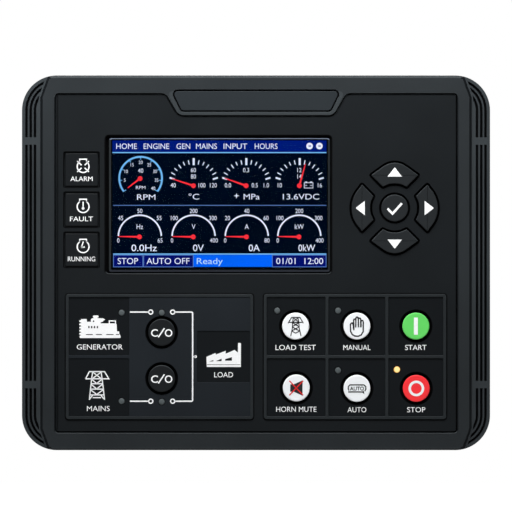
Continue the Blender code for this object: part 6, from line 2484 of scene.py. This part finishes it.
    def gauge(self, gauge: Ticks) -> None:
        """Lay out one gauge with ticks."""
        hub_row, scale_row = 46.2, 45.6
        start, sweep, marks = 161.5, 143.0, 12
        for index in range(marks + 1):
            angle = start - sweep * index / marks
            if index == marks // 2:
                near, far, thick = 20.6, 27.6, 2.1
            elif index in (0, marks):
                near, far, thick = 20.2, 25.4, 1.7
            else:
                near, far, thick = 22.2 - 0.6 * (index % 2), 26.0, 0.95
            self.stroke(self.face, gauge.column + 0.3, hub_row, angle, near, far, thick)
        for index, number in enumerate(gauge.top):
            self.words(number, gauge.column, 30.4 + 6.4 * index, self.digit)
        for number, away in gauge.level:
            self.words(number, gauge.column + away, scale_row, self.digit)
        unit, column, width = gauge.unit
        self.words(unit, column, 57.0, 5.9, width)
        self.needle(gauge.column, hub_row, gauge.needle, 22.6)

    def extras(self) -> None:
        """Lay out the drop beside the pressure and the small battery."""
        x, z = self.at(123.8, 56.3)
        self.face.polygon([(x + reach * self.pitch * math.cos(turn * math.pi / 4),
                            z + reach * self.pitch * math.sin(turn * math.pi / 4))
                           for turn in range(8) for reach in (0.9 if turn % 2 else 2.9,)])
        left, right, top, bottom = 191.6, 200.2, 43.2, 48.5
        self.frame(left, right, top, bottom)
        for column in (left + 1.8, right - 1.8):
            self.bar(self.face, column - 0.8, column + 0.8, top - 1.3, top - 0.3)
            self.stroke(self.face, column, 45.9, 0.0, -0.9, 0.9, 0.6)
        self.bar(self.face, 0.3, self.columns - 0.3, 65.5, 66.2, 2)

    def dial(self, dial: Dial) -> None:
        """Lay out one gauge of the lower row."""
        self.face.ribbon(arc(self.at(dial.column, 97.2), 21.5 * self.pitch, 178.0, 2.0, 40),
                         1.5 * self.pitch)
        places = ((-21.6, 100.8), (-19.3, 78.4), (0.0, 71.3), (19.3, 78.4), (20.3, 100.8))
        for number, (away, row) in zip(dial.marks, places):
            self.words(number, dial.column + away, row, self.digit)
        self.words(dial.unit, dial.column, 87.0, 5.2)
        value, column, width = dial.value
        self.words(value, column, 108.2, 7.0, width, weight=0.004)
        self.needle(dial.column - 0.4, 97.4, 179.0, 20.8)

    def footer(self) -> None:
        """Lay out the status bar."""
        top, bottom, row, cap = 115.3, 127.4, 121.4, 6.4
        self.bar(self.face, 0.3, self.columns - 0.3, 114.0, 115.2, 1)
        for left, right, ink in ((0.5, 80.3, 2), (80.5, 159.2, 1), (159.4, 213.4, 2)):
            self.bar(self.bars, left, right, top, bottom, ink)
        for left, right in ((0.6, 30.0), (30.8, 80.4), (159.6, 213.4)):
            self.frame(left, right, top + 0.4, bottom, 2)
        for words, column, width, ink in (("STOP", 15.0, 20.4, 0), ("AUTO OFF", 55.2, 43.0, 0),
                                          ("Ready", 97.0, 26.0, 3),
                                          ("01/01  12:00", 187.0, 47.0, 0)):
            self.words(words, column, row, cap, width, ink)

    def build(self) -> None:
        """Make the layers in front of the screen's glass."""
        self.header()
        self.rev_counter()
        for gauge in self.GAUGES:
            self.gauge(gauge)
        self.extras()
        for dial in self.DIALS:
            self.dial(dial)
        self.footer()
        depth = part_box("lcd_glass")[0].y
        for index, (name, layer) in enumerate((
                ("screen_backing", self.back), ("screen_bars", self.bars),
                ("screen_face", self.face), ("screen_needles", self.needles))):
            layer.place(name, depth - index * (PRINT_THICKNESS + PRINT_LIFT), slot="screen_glass")
        LOG.info("screen")


def softened(node: str, edge: float, slot: str,
             *materials: bpy.types.Material) -> bpy.types.Object:
    """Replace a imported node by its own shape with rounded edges.

    Args:
        node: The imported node.
        edge: Width of its rounded edges.
        slot: The record's material slot.
        materials: Its materials, in the order of their indices.

    Returns:
        The new piece.
    """
    return replaced(copied(bpy.data.objects[node]), node, edge, slot, *materials)


def replaced(item: bpy.types.Object, node: str, edge: float, slot: str,
             *materials: bpy.types.Material) -> bpy.types.Object:
    """Round a piece's edges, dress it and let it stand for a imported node.

    Args:
        item: The piece.
        node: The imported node.
        edge: Width of its rounded edges.
        slot: The record's material slot.
        materials: Its materials, in the order of their indices.

    Returns:
        The piece.
    """
    item.name = f"{node}_shape"
    change = item.modifiers.new("edges", "BEVEL")
    change.width = edge
    change.segments = 2
    change.limit_method = "ANGLE"
    change.angle_limit = math.radians(40)
    change.use_clamp_overlap = False
    settle(item)
    return fitted(item, node, slot, *materials)


@dataclass
class RearHousing:
    """Stepped rear housing with its bare field and numbered terminals, and the panel's seal.

    Attributes:
        edge: Width of the housing's rounded edges.
        field: Width and height of the polished field in the middle of its back.
        field_depth: How far that field is sunk.
        field_corner: Radius of its corners.
        number: Height of a terminal's number.
        drop: How far the numbers lie inside the block's upper and lower edges.
        bore: Radius of the bore over a housing screw's head.
        seal_edge: Width of the seal's rounded edges.
    """

    edge: float = 0.0004
    field: Point = (0.064, 0.030)
    field_depth: float = 0.0003
    field_corner: float = 0.002
    number: float = 0.0017
    drop: float = 0.0030
    bore: float = 0.0032
    seal_edge: float = 0.00025

    def build(self, terminals: Terminals) -> None:
        """Make the housing, its numbers and the seal.

        Args:
            terminals: The terminals that the numbers stand beside.
        """
        item = copied(bpy.data.objects["rear_cover"])
        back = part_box("rear_cover")[1].y
        floor = back - self.field_depth
        carve(item, Solid().prism(rectangle(*self.field, self.field_corner), floor,
                                  back + BEYOND))
        bores = Solid()
        for number in Fixings.NUMBERS:
            screw = f"cover_screw_{number}"
            bores.prism(circle(self.bore, middle(screw)),
                        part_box(screw)[1].y - Fixings.head_height, back)
        carve(item, bores)
        item = replaced(item, "rear_cover", self.edge, "housing_plastic",
                        made(HOUSING_PLASTIC), made(FIELD_PLASTIC))
        for face in item.data.polygons:
            if abs(face.center.y - floor) < PRINT_LIFT and face.normal.y > FACING:
                face.material_index = 1
        block = max(abs(corner.co.z) for corner in bpy.data.objects["rear_cover"].data.vertices
                    if corner.co.y > back - self.edge)
        sheet = Drawing(made(INK_WHITE))
        for index, x in enumerate(terminals.places(), 1):
            sheet.text(str(index), (x, block - self.drop), self.number)
            sheet.text(str(index + terminals.ways), (x, self.drop - block), self.number)
        numbers = sheet.place("terminal_numbers", -back)
        numbers.data.transform(Matrix.Rotation(math.pi, 4, "Z"))
        softened("panel_gasket", self.seal_edge, "seal_rubber", made(SEAL_RUBBER))
        LOG.info("rear housing")


@dataclass
class Terminals:
    """Plug-in terminals: headers, grooved plugs, wire cages and clamping screws.

    Attributes:
        ways: Wires that each plug takes.
        pitch: Distance between two of them.
        groove: Width and depth of the groove between two ways.
        shoulder: How far the plug's body reaches in from its back.
        bevel: Width of the bevel round its back.
        cage: Outer and inner width of a wire cage.
        cage_limits: How far its mouth and its floor lie in from the plug's back.
        screw: Radius of a clamping screw.
        screw_limits: How far its head and its foot lie in from the plug's outer side.
        slot: Width and depth of the screw's slot.
        cage_corners: Radius of a cage's outer and inner corners.
        cage_steps: Facets of each of those corners.
        screw_inset: How far the screws' axes lie in from the plug's back.
        screw_edge: Width of the bevel round a screw's head.
        screw_steps: Facets round a screw.
        slot_reach: How much longer the cutter of a slot is than the screw is wide.
        slot_turn: Degrees by which each slot is turned further than the last.
        header_edge: Width of a header's rounded edges.
    """

    SIDES: ClassVar[tuple[tuple[str, int], ...]] = (("upper", 1), ("lower", -1))
    ways: int = 20
    pitch: float = 0.00508
    groove: Point = (0.0005, 0.0004)
    shoulder: float = 0.0088
    bevel: float = 0.0004
    cage: Point = (0.0029, 0.0023)
    cage_limits: Point = (0.0008, 0.0055)
    screw: float = 0.00125
    screw_limits: Point = (0.0005, 0.0019)
    slot: Point = (0.0005, 0.0005)
    cage_corners: Point = (0.0003, 0.0002)
    cage_steps: int = 3
    screw_inset: float = 0.0045
    screw_edge: float = 0.00015
    screw_steps: int = 24
    slot_reach: float = 0.0004
    slot_turn: int = 37
    header_edge: float = 0.00015

    def places(self) -> list[float]:
        """Where the ways are, from the left."""
        return [(index - (self.ways - 1) / 2) * self.pitch for index in range(self.ways)]

    def plug(self, name: str, side: int) -> None:
        """Make one plug with grooves between its ways.

        Args:
            name: The plug's node.
            side: 1 for the upper one and -1 for the lower one.
        """
        low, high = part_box(name)
        width, depth = self.groove
        rear, flank = Solid(), Solid()
        for x in self.places()[1:]:
            centre = x - self.pitch / 2
            rear.prism(rectangle(width, high.z - low.z + BEYOND,
                                 centre=(centre, (low.z + high.z) / 2)),
                       high.y - depth, high.y + BEYOND)
            outer = high.z if side > 0 else low.z
            flank.prism(rectangle(width, 2 * depth, centre=(centre, outer)),
                        high.y - self.shoulder, high.y + BEYOND)
        item = copied(bpy.data.objects[name])
        block = rectangle(high.x - low.x, high.z - low.z,
                          centre=(0.0, (low.z + high.z) / 2))
        carve(item, Solid().stack([
            (low.y - BEYOND, block), (high.y - self.bevel, block),
            (high.y, grown(block, -self.bevel))]), Cut.KEEP)
        carve(item, rear)
        carve(item, flank)
        fitted(item, name, "terminal_plastic", made(TERMINAL_PLASTIC))

    def cages(self, name: str, high_y: float, centre_z: float) -> None:
        """Make the plated cages that grip the wires.

        Args:
            name: Name of the piece.
            high_y: Depth of the plug's back.
            centre_z: Height of the plug's middle.
        """
        mouth, floor = (high_y - limit for limit in self.cage_limits)
        outer, inner = self.cage
        solid = Solid()
        for x in self.places():
            shell, well = (rectangle(size, size, corner, (x, centre_z), self.cage_steps)
                           for size, corner in zip(self.cage, self.cage_corners))
            solid.stack([(floor, shell), (mouth, shell), (mouth, well),
                         (floor + (outer - inner) / 2, well)])
        item = solid.object(name)
        smooth(item)
        dress(item, HOUSING, "plated_steel", made(PLATED), made(PAINTED_SHADOW))
        # Painted shadow on the cages' floors.
        for face in item.data.polygons:
            if face.normal.y > FACING and face.center.y < mouth - PRINT_LIFT:
                face.material_index = 1

    def screws(self, name: str, side: int, outer: float, depth: float) -> None:
        """Make the clamping screws, each with its slot at its own angle.

        Args:
            name: Name of the piece.
            side: 1 for the upper plug and -1 for the lower one.
            outer: Distance of the plug's outer side from the middle of the object.
            depth: Depth of the screws' axes.
        """
        head, foot = (limit - outer for limit in self.screw_limits)
        solid, slots = Solid(), Solid()
        width, sunk = self.slot
        for index, x in enumerate(self.places()):
            centre = (x, side * depth)
            solid.turned([(self.screw - self.screw_edge, head),
                          (self.screw, head + self.screw_edge), (self.screw, foot)], centre,
                         self.screw_steps)
            turn = math.radians(self.slot_turn * index % 180)
            blade = [(a * math.cos(turn) - b * math.sin(turn) + centre[0],
                      a * math.sin(turn) + b * math.cos(turn) + centre[1])
                     for a, b in rectangle(2 * self.screw + self.slot_reach, width)]
            slots.prism(blade, head - BEYOND, head + sunk)
        item = solid.object(name)
        carve(item, slots)
        item.data.transform(Matrix.Rotation(-side * math.pi / 2, 4, "X"))
        smooth(item)
        dress(item, HOUSING, "zinc_screw", made(ZINC))

    def build(self) -> None:
        """Make both headers and both plugs."""
        for name, side in self.SIDES:
            low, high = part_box(f"{name}_terminal_plug")
            softened(f"{name}_terminal_header", self.header_edge, "terminal_plastic",
                     made(TERMINAL_PLASTIC))
            self.plug(f"{name}_terminal_plug", side)
            self.cages(f"{name}_wire_cages", high.y, (low.z + high.z) / 2)
            self.screws(f"{name}_clamping_screws", side, max(abs(low.z), abs(high.z)),
                        high.y - self.screw_inset)
        LOG.info("terminals")


@dataclass
class Fixings:
    """Clamps that pull the object into the panel, and all the housing's screws.

    Attributes:
        thread: Depth of a thread.
        pitch: Distance from turn to turn.
        slot: Width and depth of a screw's slot.
        dome: Radius of a head's rounded rim.
        steps: Facets round a screw.
        clamp_edge: Width of a clamp's rounded edges.
    """

    NUMBERS: ClassVar[tuple[int, ...]] = (1, 2, 3, 4)
    head_height: ClassVar[float] = 0.0022
    CLAMP_SCREW: ClassVar[tuple[float, ...]] = (0.0020, 0.0034, 0.0024, 0.0090)
    COVER_SCREW: ClassVar[tuple[float, ...]] = (0.0015, 0.0028, head_height, 0.0047)
    thread: float = 0.00022
    pitch: float = 0.0007
    slot: float = 0.0009
    dome: float = 0.0006
    steps: int = 32
    clamp_edge: float = 0.0004

    def screw(self, node: str, shank: float, head: float, head_height: float,
              slot_length: float) -> None:
        """Turn a slotted screw with a threaded shank.

        Args:
            node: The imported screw.
            shank: Radius of its shank.
            head: Radius of its head.
            head_height: Height of its head.
            slot_length: Length of its slot.
        """
        low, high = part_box(node)
        centre = middle(node)
        neck = high.y - head_height
        profile = [(shank / 2, low.y)]
        depth = low.y + shank / 2
        while depth + self.pitch < neck:
            profile += [(shank - self.thread, depth), (shank, depth + self.pitch / 2)]
            depth += self.pitch
        profile += [(shank, neck - PRINT_LIFT), (head, neck)]
        profile += [(head - inset, high.y - depth) for inset, depth in rounded(self.dome)]
        item = Solid().turned(profile, centre, self.steps).object(f"{node}_shape")
        carve(item, Solid().prism(rectangle(slot_length, self.slot, centre=centre),
                                  high.y - self.slot, high.y + BEYOND))
        fitted(item, node, "zinc_screw", made(ZINC))

    def build(self) -> None:
        """Make the clamps and the screws."""
        for number in self.NUMBERS:
            softened(f"clamp_{number}", self.clamp_edge, "clamp_plastic", made(CLAMP_PLASTIC))
            self.screw(f"clamp_screw_{number}", *self.CLAMP_SCREW)
            self.screw(f"cover_screw_{number}", *self.COVER_SCREW)
        LOG.info("clamps and screws")


@dataclass
class KeypadMat:
    """Silicone mat with a sprung dome under each key.

    Attributes:
        thickness: Thickness of the mat.
        top: Radius of a dome's top.
        base: Radius of its foot.
        wall: Thickness of its wall.
        travel: How far a key goes in; not used.
        round_edge: Radius of the edge of its top.
        facet: Share of that radius at which the edge's middle ring lies.
        spread: How far apart two corners of one packed dome's top lie at most, in radii.
        steps: Facets round a dome.
    """

    thickness: float = 0.0010
    top: float = 0.0034
    base: float = 0.0048
    wall: float = 0.0008
    travel: float = 0.0010
    round_edge: float = 0.0004
    facet: float = 0.3
    spread: float = 2.02
    steps: int = 32

    def centre(self, name: str, tops: Outline) -> Point:
        """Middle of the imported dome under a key.

        Args:
            name: The key's name.
            tops: Corners of the tops of all packed domes.

        Returns:
            Its place in X and Z.
        """
        key = middle(f"key_{name}")
        nearest = min(tops, key=lambda place: math.dist(place, key))
        own = [place for place in tops if math.dist(place, nearest) < self.spread * self.top]
        return (sum(x for x, _ in own) / len(own), sum(z for _, z in own) / len(own))

    def build(self, joints: Iterable[str]) -> None:
        """Make the mat and its domes.

        Args:
            joints: Names of the keys' joints.
        """
        low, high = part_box("keypad_mat")
        front = high.y - self.thickness
        packed = bpy.data.objects["keypad_mat"]
        tops = [(corner.co.x, corner.co.z) for corner in packed.data.vertices
                if corner.co.y < low.y + PRINT_LIFT]
        sheet = copied(packed)
        carve(sheet, Solid().prism(rectangle(WHOLE, WHOLE), low.y - BEYOND, front))
        sheet.name = "mat_sheet"
        fitted(sheet, "keypad_mat", "silicone", made(SILICONE))
        foot = front - PRINT_LIFT
        for joint in joints:
            name = joint.removesuffix("_press")
            centre = self.centre(name, tops)
            facet = self.facet * self.round_edge
            item = Solid().turned([
                (self.top - self.round_edge, low.y), (self.top - facet, low.y + facet),
                (self.top, low.y + self.round_edge), (self.base, foot),
                (self.base - self.wall, foot), (self.top - self.wall, low.y + 2 * self.wall)],
                centre, self.steps).object(f"{name}_dome")
            smooth(item)
            dress(item, HOUSING, "silicone", made(SILICONE))
            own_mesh(item)
        LOG.info("keypad mat")


@dataclass
class Electronics:
    """Boards and parts behind the panel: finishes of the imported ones, and the data socket.

    Attributes:
        contact: Width and thickness of a contact in the data socket.
        contact_length: Its length.
        contact_places: How far the contacts lie from the socket's middle.
        contact_rise: How far they lie above and below that middle.
        contact_inset: How far their ends lie in from the socket's mouth.
        edge: Width of the socket's rounded edges.
        tongue: Half width and half height of the tongue inside the shell.
    """

    CARRIED: ClassVar[dict[str, Finish]] = {
        "lcd_frame": MODULE_STEEL, "lcd_glass": GLASS_BLACK,
        "front_board": SOLDER_MASK, "rear_board": SOLDER_MASK,
        "board_connector": CONNECTOR_PLASTIC, "relay_start": RELAY_PLASTIC,
        "relay_fuel": RELAY_PLASTIC, "filter_capacitor": SLEEVE, "clock_battery": PLATED,
        "lamp_alarm_window": LAMP_MILK, "lamp_warning_window": LAMP_MILK,
        "lamp_running_window": LAMP_MILK,
    }
    contact: Point = (0.0009, 0.00012)
    contact_length: float = 0.0060
    contact_places: Point = (-0.00125, 0.00125)
    contact_rise: float = 0.0016
    contact_inset: float = 0.0006
    edge: float = 0.00025
    tongue: Point = (0.0029, 0.0017)

    def socket(self) -> None:
        """Make the data socket's shell, its tongue and its four contacts."""
        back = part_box("usb_socket")[1].y
        centre = middle("usb_socket")
        item = softened("usb_socket", self.edge, "plated_steel", made(PLATED),
                        made(CONNECTOR_PLASTIC))
        for face in item.data.polygons:
            across = abs(face.center.x - centre[0])
            up = abs(face.center.z - centre[1])
            if across < self.tongue[0] and up < self.tongue[1]:
                face.material_index = 1
        width, thickness = self.contact
        strips = Solid()
        for away in self.contact_places:
            for side in (-1, 1):
                strips.prism(rectangle(width, thickness, centre=(
                    centre[0] + away, centre[1] + side * self.contact_rise)),
                    back - self.contact_length, back - self.contact_inset)
        dress(strips.object("socket_contacts"), HOUSING, "plated_steel", made(BRASS))

    def build(self) -> None:
        """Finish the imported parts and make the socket."""
        for node, finish in self.CARRIED.items():
            for slot in bpy.data.objects[node].material_slots:
                slot.material = made(finish)
        self.socket()
        LOG.info("boards and socket")


def main() -> None:
    """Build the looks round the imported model."""
    logging.basicConfig(level=logging.INFO, format="%(message)s")
    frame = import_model()
    Studio().build()
    keys = RoundKeys()
    pad = MenuPad()
    fascia = Fascia()
    plate = Nameplate()
    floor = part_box("fascia_panel")[1].y + CLEAR
    Bezel().build(bpy.data.objects["front_bezel"], grown(fascia.outline(), CLEAR), floor,
                  plate)
    fascia.build(keys, pad)
    plate.build()
    keys.build()
    pad.build(keys)
    LampSet().build()
    StatusRow().build()
    ScreenPane().build()
    Prints().build(fascia, pad)
    Screen().build()
    terminals = Terminals()
    RearHousing().build(terminals)
    terminals.build()
    Fixings().build()
    KeypadMat().build(sorted(joint["name"] for joint in frame["joints"]))
    Electronics().build()


if __name__ == "__main__":
    main()
